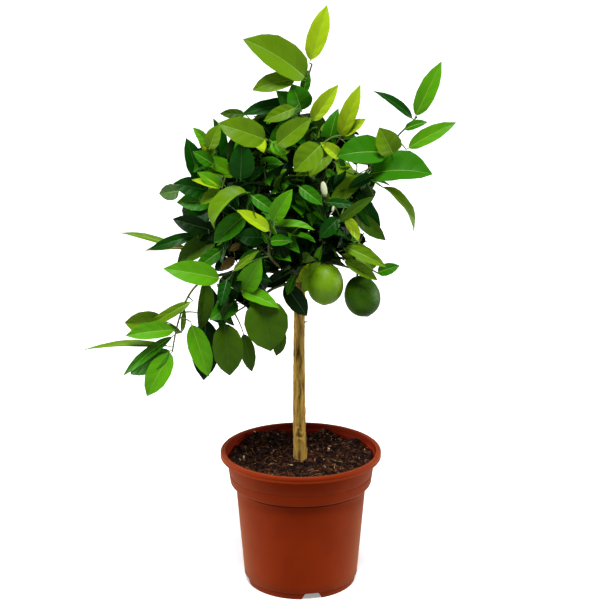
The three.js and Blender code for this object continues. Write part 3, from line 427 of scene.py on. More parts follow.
# More leaves that the front shows, each told by the place of its root, then as above, and last by
# how far it bends.
MORE_LEAVES = {
    "crown_top": (
        ((1, -14, 596), 109, 36, 34, 10, 15, "mid", 36),
        ((12, -22, 585), 55, 56, 21, 8, 12, "yellow", 34),
        ((10, -5, 651), 73, 71, 26, -8, 5, "yellow", 30),
        ((-5, -14, 633), -168, 55, 24, 10, 32, "olive", 50),
        ((-5, -30, 603), -159, 42, 18, 10, 15, "olive", 34),
    ),
    "crown_top_right": (((24, -74, 568), -137, 45, 34, 10, 15, "olive", 22),),
    "crown_upper_left": (
        ((-38, -78, 573), 160, 61, 33, 6, 15, "olive", 40),
        ((-63, -40, 596), 176, 31, 12, 6, 20, "moss", 36),
        ((-28, -70, 565), 40, 54, 28, 8, 20, "olive", 36),
        ((-91, -62, 515), 144, 36, 16, 15, 25, "bright", 40),
        ((-94, -66, 515), 159, 35, 10, 15, 40, "yellow", 40),
        ((-91, -58, 512), -148, 31, 16, 15, 25, "olive", 40),
        ((-40, -48, 539), -138, 34, 13, 15, 25, "deep", 40),
        ((-69, -84, 527), 87, 49, 33, 6, 8, "deep", 20),
        ((-119, -40, 520), 105, 53, 23, 5, 20, "deep", 36),
        ((-106, -48, 561), 128, 30, 13, 10, 20, "bright", 40),
        ((-105, -62, 560), 66, 33, 19, 8, 15, "olive", 40),
        ((-34, -58, 569), -51, 26, 16, 10, 15, "bright", 40),
        ((-100, -52, 540), 146, 30, 16, 10, 20, "mid", 30),
    ),
    "crown_left": (
        ((-58, -84, 514), -134, 68, 32, 8, 58, "olive", 110),
        ((-111, -34, 507), 166, 40, 24, 12, 15, "deep", 30),
        ((-108, -44, 462), 161, 45, 25, 10, 10, "dark", 30),
        ((-122, -46, 456), -164, 59, 15, 8, 20, "deep", 36),
        ((-66, -14, 424), 170, 28, 18, 0, 10, "dark", 30),
        ((-84, -16, 421), -140, 25, 16, 0, 10, "dark", 30),
        ((-78, -24, 424), -137, 24, 12, 8, 10, "straw", 36),
        ((-71, -30, 442), -148, 17, 9, 8, 10, "straw", 36),
        ((-63, -70, 486), -139, 51, 28, 10, 15, "mid", 36),
        ((-90, -50, 440), -146, 43, 18, 10, 15, "mid", 36),
        ((-141, -44, 508), -174, 25, 20, 10, 10, "grey", 50),
    ),
    "crown_front": (
        ((-42, -74, 459), 176, 33, 23, 10, 15, "deep", 30),
        ((-57, -84, 511), -35, 36, 18, 10, 15, "mid", 30),
        ((-50, -16, 422), -27, 31, 20, 0, 10, "dark", 30),
        ((-33, -12, 437), -152, 26, 14, 0, 10, "dark", 30),
        ((-45, -66, 442), -151, 34, 16, 10, 15, "mid", 36),
        ((-79, -84, 421), 41, 43, 9, 10, 15, "olive", 40),
    ),
    "crown_middle": (
        ((-3, -80, 521), -37, 36, 18, 10, 15, "mid", 36),
        ((27, -66, 499), -5, 39, 12, 10, 25, "deep", 40),
        ((45, -52, 548), 139, 33, 17, 20, 25, "yellow", 36),
        ((45, -66, 482), -134, 35, 20, 10, 15, "deep", 30),
        ((-8, 4, 529), -170, 44, 29, 0, 10, "dark", 30),
        ((-17, -16, 507), 138, 38, 24, 0, 10, "dark", 30),
    ),
    "crown_right": (
        ((84, -50, 528), -154, 34, 14, 10, 15, "deep", 36),
        ((61, -40, 481), -39, 51, 19, 10, 12, "moss", 34),
        ((131, -40, 592), 65, 73, 24, -5, 8, "bright", 36),
        ((43, -72, 476), 39, 55, 13, 10, 25, "moss", 40),
        ((99, -45, 544), -174, 35, 10, 0, 20, "grey", 30),
        ((92, -40, 513), -53, 71, 21, 4, 62, "olive", 66),
        ((78, -50, 528), 2, 77, 47, 8, 45, "mid", 52),
        ((106, -60, 553), 117, 40, 30, 15, 10, "olive", 40),
        ((100, -56, 554), -178, 63, 38, 8, 35, "mid", 60),
        ((122, -42, 556), 30, 67, 20, 5, 28, "bright", 36),
    ),
    "crown_low_right": (
        ((51, -62, 481), -60, 34, 14, 10, 25, "yellow", 60),
        ((49, -64, 446), -24, 58, 17, 10, 25, "olive", 55),
        ((49, -60, 429), -29, 48, 16, 10, 25, "olive", 40),
    ),
    "crown_fruit": (
        ((24, -48, 425), -120, 44, 21, 10, 15, "olive", 36),
        ((-10, -40, 411), -151, 40, 18, 10, 15, "dark", 36),
    ),
    "crown_low_left": (
        ((-75, -66, 421), -106, 47, 28, 10, 15, "dark", 30),
        ((-69, -44, 337), -78, 51, 20, 4, 10, "moss", 30),
        ((-48, -72, 389), -79, 68, 53, 6, 10, "moss", 30),
        ((-20, -58, 344), -106, 34, 16, 4, 10, "moss", 30),
    ),
    "crown_spray": (
        ((-116, -8, 347), -92, 84, 36, 0, 10, "dark", 30),
        ((-130, -60, 354), -73, 71, 28, 4, 10, "bright", 34),
        ((-128, -44, 375), -151, 66, 14, 8, 20, "olive", 36),
        ((-162, -36, 347), 180, 49, 34, 4, 10, "olive", 30),
        ((-142, -46, 336), 83, 33, 7, 0, 15, "olive", 30),
        ((-142, -46, 338), 160, 33, 8, 5, 20, "olive", 30),
    ),
}

# Where the front shows sky: a round window's middle, and its radius
SKY = (((102, -40, 496), 13), ((-70, -40, 350), 10), ((68, -40, 534), 7), ((71, -40, 463), 5),
       ((-25, -40, 380), 9))

# Two green fruits on the first shoot of crown_fruit: share of the shoot, top and clock angle.
FRUITS = ((0.34, (30.6, -50, 421), -94), (0.98, (66, -45, 404), -74))

# Leaf tints, roughly from shade to light, and the two dry ones, as sRGB: the darker greens hold painted shade
# and the lighter ones painted light, over the leaves' own tones
TINTS = {
    "dark": (8, 38, 1),
    "deep": (15, 72, 2),
    "moss": (58, 92, 5),
    "mid": (50, 121, 4),
    "grey": (84, 118, 62),
    "bright": (88, 160, 12),
    "olive": (99, 139, 10),
    "yellow": (166, 199, 22),
    "brown": (105, 90, 30),
    "straw": (160, 122, 72),
}


# Numbers, lines and places


class Draws:
    """Numbers in an order that the seed sets, as in the source."""

    def __init__(self, seed):
        self.state = (seed * 2654435761) % 4294967296

    def between(self, low, high):
        self.state = (self.state * 1664525 + 1013904223) % 4294967296
        return low + (high - low) * (self.state / 4294967296)

    def any_way(self):
        return np.array([self.between(-1, 1), self.between(-1, 1), self.between(-1, 1)])


def unit(vector):
    return vector / np.linalg.norm(vector)


def place(values):
    return np.array(values, float)


def limb_line(foot, tip, lift):
    """A limb's line from foot to tip, its middle moved by lift, as three points."""
    return np.array([foot, (foot + tip) * 0.5 + 2 * lift, tip])


def on_line(line, share):
    share = np.asarray(share, float)[..., None]
    return (1 - share) ** 2 * line[0] + 2 * (1 - share) * share * line[1] + share**2 * line[2]


def heading_at(line, share):
    low = max(0.0, share - 0.0001)
    high = min(1.0, share + 0.0001)
    return unit(on_line(line, high) - on_line(line, low))


def stem_line(bough_line, tip):
    """It leaves the bough's tip as the bough arrives, and bends to its own tip."""
    heading = heading_at(bough_line, 1)
    foot = bough_line[2] + heading * GAP
    middle = foot + heading * STEM_BEND_SHARE * np.linalg.norm(tip - foot)
    return np.array([foot, middle, tip])


def taper(foot, tip):
    return lambda share: foot + (tip - foot) * share


def trunk_radius(share):
    height = share * (FORK_HEIGHT - SOIL_HEIGHT)
    return taper(TRUNK_FOOT_RADIUS, TRUNK_FORK_RADIUS)(share) + TRUNK_FLARE * math.exp(-height / FLARE_HEIGHT)


TRUNK_FOOT = place((-0.6, 0, SOIL_HEIGHT + GAP))
TRUNK_FORK = place((TRUNK_FOOT[0] + TRUNK_LEAN, 0, FORK_HEIGHT))
LIMBS = {"trunk": (limb_line(TRUNK_FOOT, TRUNK_FORK, place((TRUNK_SWAY, 0, 0))), trunk_radius)}
for bough_name, (parent, share, tip, lift, radii) in BOUGHS.items():
    bough_foot = on_line(LIMBS[parent][0], share)
    LIMBS[bough_name] = (limb_line(bough_foot, place(tip), place(lift)), taper(*radii))


def limb_points():
    """Points that say where the limbs run, with their radius there."""
    places = []
    radii = []
    for line, radius_at in LIMBS.values():
        length = np.linalg.norm(np.diff(on_line(line, np.linspace(0, 1, 201)), axis=0), axis=1).sum()
        spaces = math.ceil(length / LIMB_POINT_SPACING)
        for index in range(spaces + 1):
            places.append(on_line(line, index / spaces))
            radii.append(radius_at(index / spaces))
    return np.array(places), np.array(radii)


LIMB_PLACES, LIMB_RADII = limb_points()
SPACE_MIDDLES = {name: place(mass["space"][0]) for name, mass in MASSES.items()}
SPACE_GIRTHS = {name: mass["space"][1] for name, mass in MASSES.items()}


def clear_of_limbs(points, clearance):
    """Whether each row of points keeps its distance from every limb."""
    apart = np.linalg.norm(points[..., None, :] - LIMB_PLACES, axis=-1) > LIMB_RADII + clearance
    return apart.all(axis=(-1, -2))


def inside_space(name, points):
    """Whether each row of points lies in the mass's space, against every other mass."""
    own = ((points - SPACE_MIDDLES[name]) ** 2).sum(-1) - SPACE_GIRTHS[name] ** 2
    inside = np.ones(points.shape[:-2], bool)
    for other, middle in SPACE_MIDDLES.items():
        if other != name:
            pull = ((points - middle) ** 2).sum(-1) - SPACE_GIRTHS[other] ** 2
            margin = 2 * SPACE_MARGIN * np.linalg.norm(middle - SPACE_MIDDLES[name])
            inside &= (pull - own > margin).all(-1)
    return inside


def inside_crown(points):
    egg = np.linalg.norm((points - CROWN_MIDDLE) / CROWN_RADII, axis=-1) < 1
    lobe = np.linalg.norm((points - LOBE_MIDDLE) / LOBE_RADII, axis=-1) < 1
    return (egg | lobe).all(-1)


def inside_box(points):
    """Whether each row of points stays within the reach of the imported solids."""
    above = points * MM > np.array(solid_box[0]) - BOX_EASE * MM
    below = points * MM < np.array(solid_box[1]) + BOX_EASE * MM
    return (above & below).all(axis=(-1, -2))


# The leaf as the source tests it: a root, rings of four corners and a point


def leaf_points(root, along, upper, length, width, stations):
    """The points of one or more leaves, which are rows of along, upper, length and width."""
    bend = math.radians(LEAF_BEND)
    fold = math.radians(LEAF_FOLD)
    side = np.cross(upper, along)
    side /= np.linalg.norm(side, axis=-1, keepdims=True)
    length = length[:, None]
    half = np.maximum(LEAF_THICKNESS, length / 90) / 2

    def middle_at(share):
        turn = bend / 2 - bend * share
        ahead = along * length * (math.sin(bend / 2) - math.sin(turn)) / bend
        return root + ahead + upper * length * (math.cos(turn) - math.cos(bend / 2)) / bend

    rows = [root - along * LEAF_ROOT_DEPTH]
    for share, fullness in stations:
        turn = bend / 2 - bend * share
        normal = upper * math.cos(turn) - along * math.sin(turn)
        middle = middle_at(share)
        half_width = (fullness * width / 2)[:, None]
        rise = normal * half_width * math.sin(fold)
        out = side * half_width * math.cos(fold)
        rows += [middle + out + rise, middle + normal * half, middle - out + rise, middle - normal * half]
    rows.append(middle_at(1))
    return np.stack(rows, axis=1)


def leaf_pattern(station_count):
    """Which points of a leaf are spread over, and which make its triangles and edges."""
    rings = [[0]]
    for ring in range(station_count):
        rings.append([1 + 4 * ring + corner for corner in range(4)])
    rings.append([4 * station_count + 1])
    pairs = [
        [(corner, before) for corner in rings[row] for before in rings[row - 1]]
        for row in range(1, len(rings))
    ]
    rows = [ring[:3] if len(ring) > 1 else ring * 3 for ring in rings]
    triangles = []
    edges = []
    for before, row in zip(rows, rows[1:]):
        for side in range(2):
            triangles.append((before[side], before[side + 1], row[side + 1]))
            triangles.append((before[side], row[side + 1], row[side]))
            edges.append((row[side], row[side + 1]))
        edges += [(before[side], row[side]) for side in range(3)]
    return {
        "all_pairs": np.array(sum(pairs, [])),
        "sheet_pairs": np.array(sum(pairs[1:], [])),
        "triangles": np.array(triangles),
        "edges": np.array(edges),
    }


SHOWN_PATTERN = leaf_pattern(len(SHOWN_STATIONS))
SEEDED_PATTERN = leaf_pattern(len(SEEDED_STATIONS))


def spread(points, pairs):
    """A leaf's points but for its root, and points between its rings."""
    corners = points[..., pairs[:, 0], :]
    before = points[..., pairs[:, 1], :]
    nearer = corners + (before - corners) * NEARER_SHARE
    further = corners + (before - corners) * FURTHER_SHARE
    return np.concatenate([points[..., 1:, :], nearer, further], axis=-2)


def leaf_sheet(points, pattern):
    return {
        "points": spread(points, pattern["sheet_pairs"]),
        "triangles": points[pattern["triangles"]],
        "edges": points[pattern["edges"]],
    }


def twig_sheet(line):
    places = on_line(line, np.linspace(0, 1, SHEET_STEPS + 1))
    return {
        "points": np.empty((0, 3)),
        "triangles": np.empty((0, 3, 3)),
        "edges": np.stack([places[:-1], places[1:]], axis=1),
    }


def pierced(edges, triangles):
    """Whether any of the edges goes through any of the triangles."""
    if not len(edges) or not len(triangles):
        return False
    lowest = edges.min(axis=(0, 1))
    highest = edges.max(axis=(0, 1))
    near = (triangles.min(1) <= highest).all(-1) & (triangles.max(1) >= lowest).all(-1)
    triangles = triangles[near]
    if not len(triangles):
        return False
    start = edges[:, None, 0]
    along = edges[:, None, 1] - start
    corner = triangles[None, :, 0]
    one = triangles[None, :, 1] - corner
    two = triangles[None, :, 2] - corner
    slant = np.cross(along, two)
    scale = (one * slant).sum(-1)
    level = abs(scale) < 1e-9
    scale = np.where(level, 1.0, scale)
    offset = start - corner
    turn = np.cross(offset, one)
    u = (offset * slant).sum(-1) / scale
    v = (along * turn).sum(-1) / scale
    share = (two * turn).sum(-1) / scale
    hit = (u >= 0) & (v >= 0) & (u + v <= 1) & (share >= 0) & (share <= 1) & ~level
    return bool(hit.any())


class Room:
    """All that a mass already has, to keep new twigs and leaves apart from it."""

    def __init__(self):
        self.parts = {"points": [], "triangles": [], "edges": []}
        self.whole = {}

    def add(self, sheet):
        for key, parts in self.parts.items():
            parts.append(sheet[key])
        self.whole = {key: np.concatenate(parts) for key, parts in self.parts.items()}

    def copy(self):
        other = Room()
        other.parts = {key: list(parts) for key, parts in self.parts.items()}
        other.whole = dict(self.whole)
        return other

    def takes(self, sheet, spacing):
        if len(sheet["points"]) and len(self.whole["points"]):
            gaps = np.linalg.norm(sheet["points"][:, None] - self.whole["points"], axis=-1)
            if (gaps <= spacing).any():
                return False
        crossed = pierced(sheet["edges"], self.whole["triangles"])
        return not crossed and not pierced(self.whole["edges"], sheet["triangles"])


LIMB_EDGES = np.concatenate([twig_sheet(line)["edges"] for line, _ in LIMBS.values()])


def leaf_pose(clock, lean, turn):
    """The two directions of a leaf that is told by how it looks from the front."""
    clock = math.radians(clock)
    lean = math.radians(lean)
    turn = math.radians(turn)
    along = place((
        math.cos(clock) * math.cos(lean), -math.sin(lean), math.sin(clock) * math.cos(lean)))
    front = place((0, -1, 0))
    front = unit(front - along * front.dot(along))
    skyward = np.cross(along, front)
    if skyward[2] + 0.2 * skyward[0] < 0:
        skyward = -skyward
    return along, front * math.cos(turn) + skyward * math.sin(turn)


def seeded_ways(draws, root, heart, habit):
    """The few ways that the leaf of one place on a twig may lie."""
    outward = unit(root - CROWN_MIDDLE)
    from_heart = unit(root - heart) * AIM_HEART
    alongs, uppers, lengths, widths = [], [], [], []
    for _ in range(habit["ways"]):
        along = from_heart + draws.any_way() * AIM_ANY + outward * AIM_OUTWARD
        along = unit(along - place((0, 0, AIM_DOWN)))
        upper = draws.any_way() * FACE_ANY + outward * FACE_OUTWARD + place((0, 0, FACE_UP))
        upper = unit(upper - along * upper.dot(along))
        length = draws.between(*habit["lengths"])
        alongs.append(along)
        uppers.append(upper)
        lengths.append(length)
        widths.append(length * draws.between(*LEAF_SLENDER))
    return root, np.array(alongs), np.array(uppers), np.array(lengths), np.array(widths)


def first_fit(name, ways, room, habit):
    """The first of the ways that fits, with its points, or None."""
    points = leaf_points(*ways, SEEDED_STATIONS)
    good = inside_crown(points) & inside_space(name, points) & inside_box(points)
    for way in np.flatnonzero(good):
        over = spread(points[way], SEEDED_PATTERN["all_pairs"])
        if not clear_of_limbs(over, habit["leaf_clearance"]):
            continue
        if habit["keeps_view"] and not leaves_view(over):
            continue
        sheet = leaf_sheet(points[way], SEEDED_PATTERN)
        if pierced(LIMB_EDGES, sheet["triangles"]):
            continue
        if habit["spacing"] is None or room.takes(sheet, habit["spacing"]):
            root, alongs, uppers, lengths, widths = ways
            return (root, alongs[way], uppers[way], lengths[way], widths[way]), sheet
    return None


def seed_twigs(name, draws, lines, room, count, habit):
    """Twigs that reach from the nearest shoot to spots round the heart, with leaves along them."""
    heart, reach, _ = MASSES[name]["fill"]
    heart = place(heart)
    feet = np.array([on_line(line, share) for line in lines for share in TWIG_SHARES])
    twigs = []
    leaves = []
    for _ in range(habit["trials"]):
        if len(leaves) >= count:
            break
        spot = heart + draws.any_way() * reach
        foot = feet[np.linalg.norm(feet - spot, axis=1).argmin()]
        arch = place((0, 0, TWIG_ARCH * np.linalg.norm(foot - spot)))
        line = limb_line(foot, spot, arch)
        places = []
        for index in range(habit["leaves_on_twig"]):
            root = on_line(line, 1 - LEAFY_SHARE * index / habit["leaves_on_twig"])
            places.append(seeded_ways(draws, root, heart, habit))
        track = on_line(line, TWIG_TRACK)
        sheet = twig_sheet(line)
        if not inside_space(name, track) or not clear_of_limbs(track, habit["twig_clearance"]):
            continue
        if habit["spacing"] is not None and not room.takes(sheet, habit["spacing"]):
            continue
        tried = room.copy()
        fitting = []
        for ways in places:
            found = first_fit(name, ways, tried, habit)
            if found:
                fitting.append(found[0])
                tried.add(found[1])
        if len(fitting) >= habit["fewest"]:
            room.parts = tried.parts
            room.add(sheet)
            twigs.append(line)
            leaves += fitting
    return twigs, leaves


def told_growth(name):
    """The shoots of a mass, the leaves told on them, and twigs to the leaves told by their place."""
    mass = MASSES[name]
    shoots = []
    shown = []
    for leaves_from, tip, lift, rows in mass["shoots"]:
        if leaves_from is None:
            line = stem_line(LIMBS[mass["bough"]][0], place(tip))
        else:
            line = limb_line(on_line(shoots[0], leaves_from), place(tip), place(lift))
        shoots.append(line)
        for share, clock, length, width, lean, turn, tint, *bend in rows:
            pose = leaf_pose(clock, lean, turn)
            shown.append((on_line(line, share), *pose, length, width, tint, bend[0] if bend else None))
    feet = np.concatenate([on_line(line, SPUR_FEET) for line in shoots])
    spurs = []
    added = []
    for root, clock, length, width, lean, turn, tint, bend in MORE_LEAVES.get(name, ()):
        root = place(root)
        foot = feet[np.linalg.norm(feet - root, axis=1).argmin()]
        spurs.append(limb_line(foot, root, place((0, 0, TWIG_ARCH * np.linalg.norm(foot - root)))))
        added.append((root, *leaf_pose(clock, lean, turn), length, width, tint, bend))
    return {"shoots": shoots, "shown": shown, "spurs": spurs, "added": added}


TOLD = {name: told_growth(name) for name in MASSES}


def points_of(leaf, stations):
    root, along, upper, length, width = leaf[:5]
    return leaf_points(root, along[None], upper[None], place([length]), place([width]), stations)[0]


def shown_sheet(leaf):
    return leaf_sheet(points_of(leaf, SHOWN_STATIONS), SHOWN_PATTERN)


TOLD_TRIANGLES = np.concatenate([
    shown_sheet(leaf)["triangles"] for told in TOLD.values() for leaf in told["shown"] + told["added"]
    if leaf[5] != "dark"])


def hides_told(points):
    """Whether a leaf with these points stands before a told leaf, seen from the front."""
    away = points - EYE
    away /= np.linalg.norm(away, axis=1, keepdims=True)
    return pierced(np.stack([points + away * HIDE_START, points + away * HIDE_REACH], axis=1), TOLD_TRIANGLES)


def leaves_view(points):
    """Whether a leaf with these points keeps clear of the sky and the told leaves that the front shows."""
    away = points - EYE
    for middle, radius in SKY:
        middle = place(middle)
        reached = EYE + away * ((middle[1] - EYE[1]) / away[:, 1])[:, None]
        if (np.linalg.norm(reached - middle, axis=1) < radius).any():
            return False
    return not hides_told(points)


def seeded_points(leaf):
    return spread(points_of(leaf, SEEDED_STATIONS), SEEDED_PATTERN["all_pairs"])


def grow_mass(name):
    """All that one mass has: told, then as in the source, then finer, then in the shade."""
    mass = MASSES[name]
    told = TOLD[name]
    room = Room()
    for line in told["shoots"]:
        room.add(twig_sheet(line))
    for leaf in told["shown"]:
        room.add(shown_sheet(leaf))
    _, _, count = mass["fill"]
    twigs, seeded = seed_twigs(name, Draws(mass["seed"]), told["shoots"], room, count, SOURCE_HABIT)
    seeded = [leaf for leaf in seeded if leaves_view(seeded_points(leaf))]
    for leaf in told["added"]:
        room.add(shown_sheet(leaf))
    fine_draws = Draws(mass["seed"] + FINE_SEED)
    lines = told["shoots"] + twigs
    fine_twigs, fine = seed_twigs(name, fine_draws, lines, room, FINE_LEAVES, FINE_HABIT)
    shade_twigs, shade = seed_twigs(name, fine_draws, lines, room, SHADE_LEAVES, SHADE_HABIT)
    return {"shoots": told["shoots"], "twigs": twigs + told["spurs"], "fine_twigs": fine_twigs + shade_twigs,
            "shown": told["shown"] + told["added"], "seeded": seeded, "fine": fine, "shade": shade}


GROWTH = {name: grow_mass(name) for name in MASSES}


# Joined meshes from arrays


class Pile:
    """Many small shapes of one kind, joined into one mesh."""

    def __init__(self):
        self.points = []
        self.faces = []
        self.slots = []
        self.charts = []
        self.count = 0

    def add(self, points, faces, slots, chart=None):
        self.points.append(points)
        self.faces += [tuple(self.count + corner for corner in face) for face in faces]
        self.slots += slots
        if chart is not None:
            self.charts.append(chart)
        self.count += len(points)

    def finish(self, name, materials, sharp=60):
        mesh = bpy.data.meshes.new(name)
        mesh.from_pydata((np.concatenate(self.points) * MM).tolist(), [], self.faces)
        mesh.polygons.foreach_set("material_index", self.slots)
        if self.charts:
            chart = np.concatenate(self.charts)
            corners = np.zeros(len(mesh.loops), int)
            mesh.loops.foreach_get("vertex_index", corners)
            layer = mesh.uv_layers.new(name="blade")
            layer.uv.foreach_set("vector", chart[corners].astype(np.float32).ravel())
        return finish_piece(name, mesh, materials, sharp)


def in_scene(name, data):
    """A new object with this data, in the scene."""
    made = bpy.data.objects.new(name, data)
    bpy.context.scene.collection.objects.link(made)
    return made


def finish_piece(name, mesh, materials, sharp=60):
    """A piece of the plant from its mesh, smooth but for edges sharper than so many degrees."""
    for material in materials:
        mesh.materials.append(material)
    mesh.shade_smooth()
    mesh.set_sharp_from_angle(angle=math.radians(sharp))
    mesh.validate()
    return in_scene(name, mesh)


def mesh_of(shape, name):
    """Turns a shape into a mesh and lets go of the shape."""
    mesh = bpy.data.meshes.new(name)
    shape.to_mesh(mesh)
    shape.free()
    return mesh


def join_shape(whole, shape):
    """Adds a shape to a whole one and lets go of it."""
    mesh = mesh_of(shape, "joined")
    whole.from_mesh(mesh)
    bpy.data.meshes.remove(mesh)


def line_frames(line, steps):
    """Places along a line with the two directions across it, turning as little as they can."""
    frames = []
    across = None
    for step in range(steps + 1):
        share = step / steps
        heading = heading_at(line, share)
        if across is None:
            across = np.cross((1.0, 0, 0) if abs(heading[2]) > 0.8 else (0, 0, 1.0), heading)
        across = unit(across - heading * across.dot(heading))
        frames.append((on_line(line, share), across, np.cross(heading, across)))
    return frames


def add_tube(pile, line, radius_at, steps, sides, slot):
    """A closed round twig."""
    angles = 2 * math.pi * np.arange(sides) / sides
    points = []
    for step, (middle, across, other) in enumerate(line_frames(line, steps)):
        radius = radius_at(step / steps)
        points.append(middle + radius * (np.outer(np.cos(angles), across) + np.outer(np.sin(angles), other)))
    faces = []
    for step in range(steps):
        for side in range(sides):
            after = (side + 1) % sides
            low, high = step * sides, (step + 1) * sides
            faces.append((low + side, low + after, high + after, high + side))
    faces.append(tuple(reversed(range(sides))))
    faces.append(tuple(range(steps * sides, (steps + 1) * sides)))
    pile.add(np.concatenate(points), faces, [slot] * len(faces))


# A leaf form: stations along the blade with the share of the width there, and the points round
# each station: how far aside, on which side of the rib, and above or under the blade's middle.
SHOWN_FORM = {
    "outline": np.array((
        (0.02, 0.0), (0.06, 0.03), (0.09, 0.3), (0.14, 0.56), (0.21, 0.79), (0.3, 0.95), (0.41, 1.02),
        (0.52, 1.02), (0.63, 0.94), (0.73, 0.79), (0.81, 0.6), (0.88, 0.39), (0.935, 0.21), (0.975, 0.09),
    )),
    "ring": ((-1, 0, 0), (-0.55, 0, 1), (0, -1, 1), (0, 1, 1), (0.55, 0, 1), (1, 0, 0),
             (0.55, 0, -1), (0, 0, -1), (-0.55, 0, -1)),
    "crenate": 0.018,
}
SEEDED_FORM = {
    "outline": np.array((
        (0.02, 0.0), (0.08, 0.06), (0.14, 0.52), (0.27, 0.92), (0.46, 1.03), (0.65, 0.91), (0.81, 0.58),
        (0.93, 0.22),
    )),
    "ring": ((-1, 0, 0), (0, -1, 1), (0, 1, 1), (1, 0, 0), (0, 0, -1)),
    "crenate": 0.0,
}
PETIOLE_HALF = 0.62
RIB_HALF = 0.5
BLADE_THICKNESS = 0.42
BLADE_CROWN = 0.5
LEAF_BENDS = (24, 48)
LEAF_FOLDS = (16, 34)
LEAF_TWIST = 0.3
LEAF_WAVE = (0.01, 0.05)
LEAF_WAVES = (1.2, 2.4)
OTHER_SIDE_PHASE = 1.3
TWIST_START = 0.3
BLADE_START = 0.1
PETIOLE_FLATNESS = 0.8
RIB_END = 1.15
RIB_MOST = 0.6
RIB_SINK = 0.08


def add_leaf(pile, leaf, form, bend, draws, leaf_slots):
    """A thin closed blade, folded along its midrib, arched, and waved a little at its margin."""
    root, along, upper, length, width = leaf
    share, fullness = form["outline"].T
    tint_slot, under_slot, rib_slot = leaf_slots
    bend = math.radians(bend)
    fold = math.radians(draws.between(*LEAF_FOLDS))
    twist = (draws.between(-LEAF_TWIST, LEAF_TWIST) * (share - TWIST_START))[:, None]
    wave = draws.between(*LEAF_WAVE) * width * fullness
    phase = draws.between(0, 2 * math.pi)
    waves = draws.between(*LEAF_WAVES) * 2 * math.pi
    side = unit(np.cross(upper, along))
    turn = (bend / 2 - bend * share)[:, None]
    normal = upper * np.cos(turn) - along * np.sin(turn)
    middle = root + along * length * (math.sin(bend / 2) - np.sin(turn)) / bend
    middle = middle + upper * length * (np.cos(turn) - math.cos(bend / 2)) / bend
    across = side * np.cos(twist) + normal * np.sin(twist)
    normal = normal * np.cos(twist) - side * np.sin(twist)
    half = fullness * width / 2 * (1 + form["crenate"] * (-1) ** np.arange(len(share)))
    half = np.maximum(half, PETIOLE_HALF)
    thick = np.where(fullness > BLADE_START, BLADE_THICKNESS / 2, PETIOLE_HALF * PETIOLE_FLATNESS)
    rib = np.minimum(RIB_HALF * (RIB_END - share), half * RIB_MOST) / half
    rings = []
    charts = []
    for aside, rib_side, level in form["ring"]:
        span = aside + rib_side * rib
        height = half * math.sin(fold) * (abs(span) + BLADE_CROWN * abs(span) * (1 - abs(span)))
        height += wave * np.sin(waves * share + phase + (OTHER_SIDE_PHASE if aside < 0 else 0)) * span**2
        height += thick * level - RIB_SINK * abs(rib_side)
        out = span * half * math.cos(fold)
        rings.append(middle + across * out[:, None] + normal * height[:, None])
        charts.append(np.stack([share, 0.5 + 0.5 * span], axis=1))
    around = len(rings)
    tip = root + along * length * 2 * math.sin(bend / 2) / bend
    points = np.concatenate([[root - along * LEAF_ROOT_DEPTH], np.stack(rings, 1).reshape(-1, 3), [tip]])
    chart = np.concatenate([[(0.0, 0.5)], np.stack(charts, 1).reshape(-1, 2), [(1.0, 0.5)]])
    upper_count = form["ring"].index((1, 0, 0))
    faces = []
    slots = []
    last_ring = 1 + around * (len(share) - 1)
    for corner in range(around):
        after = (corner + 1) % around
        on_top = corner < upper_count
        on_rib = form["ring"][corner][1] == -1
        slot = (rib_slot if on_rib else tint_slot) if on_top else under_slot
        faces.append((0, 1 + corner, 1 + after))
        for low in range(1, last_ring, around):
            high = low + around
            quad = (low + corner, high + corner, high + after, low + after)
            faces.append(quad if on_top else quad[1:] + quad[:1])
        faces.append((last_ring + corner, len(points) - 1, last_ring + after))
        slots += [slot] * (len(share) + 1)
    pile.add(points, faces, slots, chart)


# Materials


def paint(red, green, blue):
    """A linear colour from sRGB values up to 255."""
    def linear(value):
        value /= 255
        return value / 12.92 if value <= 0.04045 else ((value + 0.055) / 1.055) ** 2.4
    return (linear(red), linear(green), linear(blue), 1.0)


def put(tree, kind, inputs=None, **settings):
    """Adds a node. An input is a plain value or another node's output."""
    made = tree.nodes.new(kind)
    for key, value in settings.items():
        setattr(made, key, value)
    for key, value in (inputs or {}).items():
        if isinstance(value, bpy.types.NodeSocket):
            tree.links.new(value, made.inputs[key])
        else:
            made.inputs[key].default_value = value
    return made


def reckon(tree, operation, *values):
    """One step of sums on plain values or other nodes' outputs."""
    return put(tree, "ShaderNodeMath", dict(enumerate(values)), operation=operation).outputs[0]


def new_group(name, inputs, outputs):
    tree = bpy.data.node_groups.new(name, "ShaderNodeTree")
    for title, kind, value in inputs:
        socket = tree.interface.new_socket(name=title, in_out="INPUT", socket_type=kind)
        if value is not None:
            socket.default_value = value
    for title, kind in outputs:
        tree.interface.new_socket(name=title, in_out="OUTPUT", socket_type=kind)
    return tree, tree.nodes.new("NodeGroupInput"), tree.nodes.new("NodeGroupOutput")


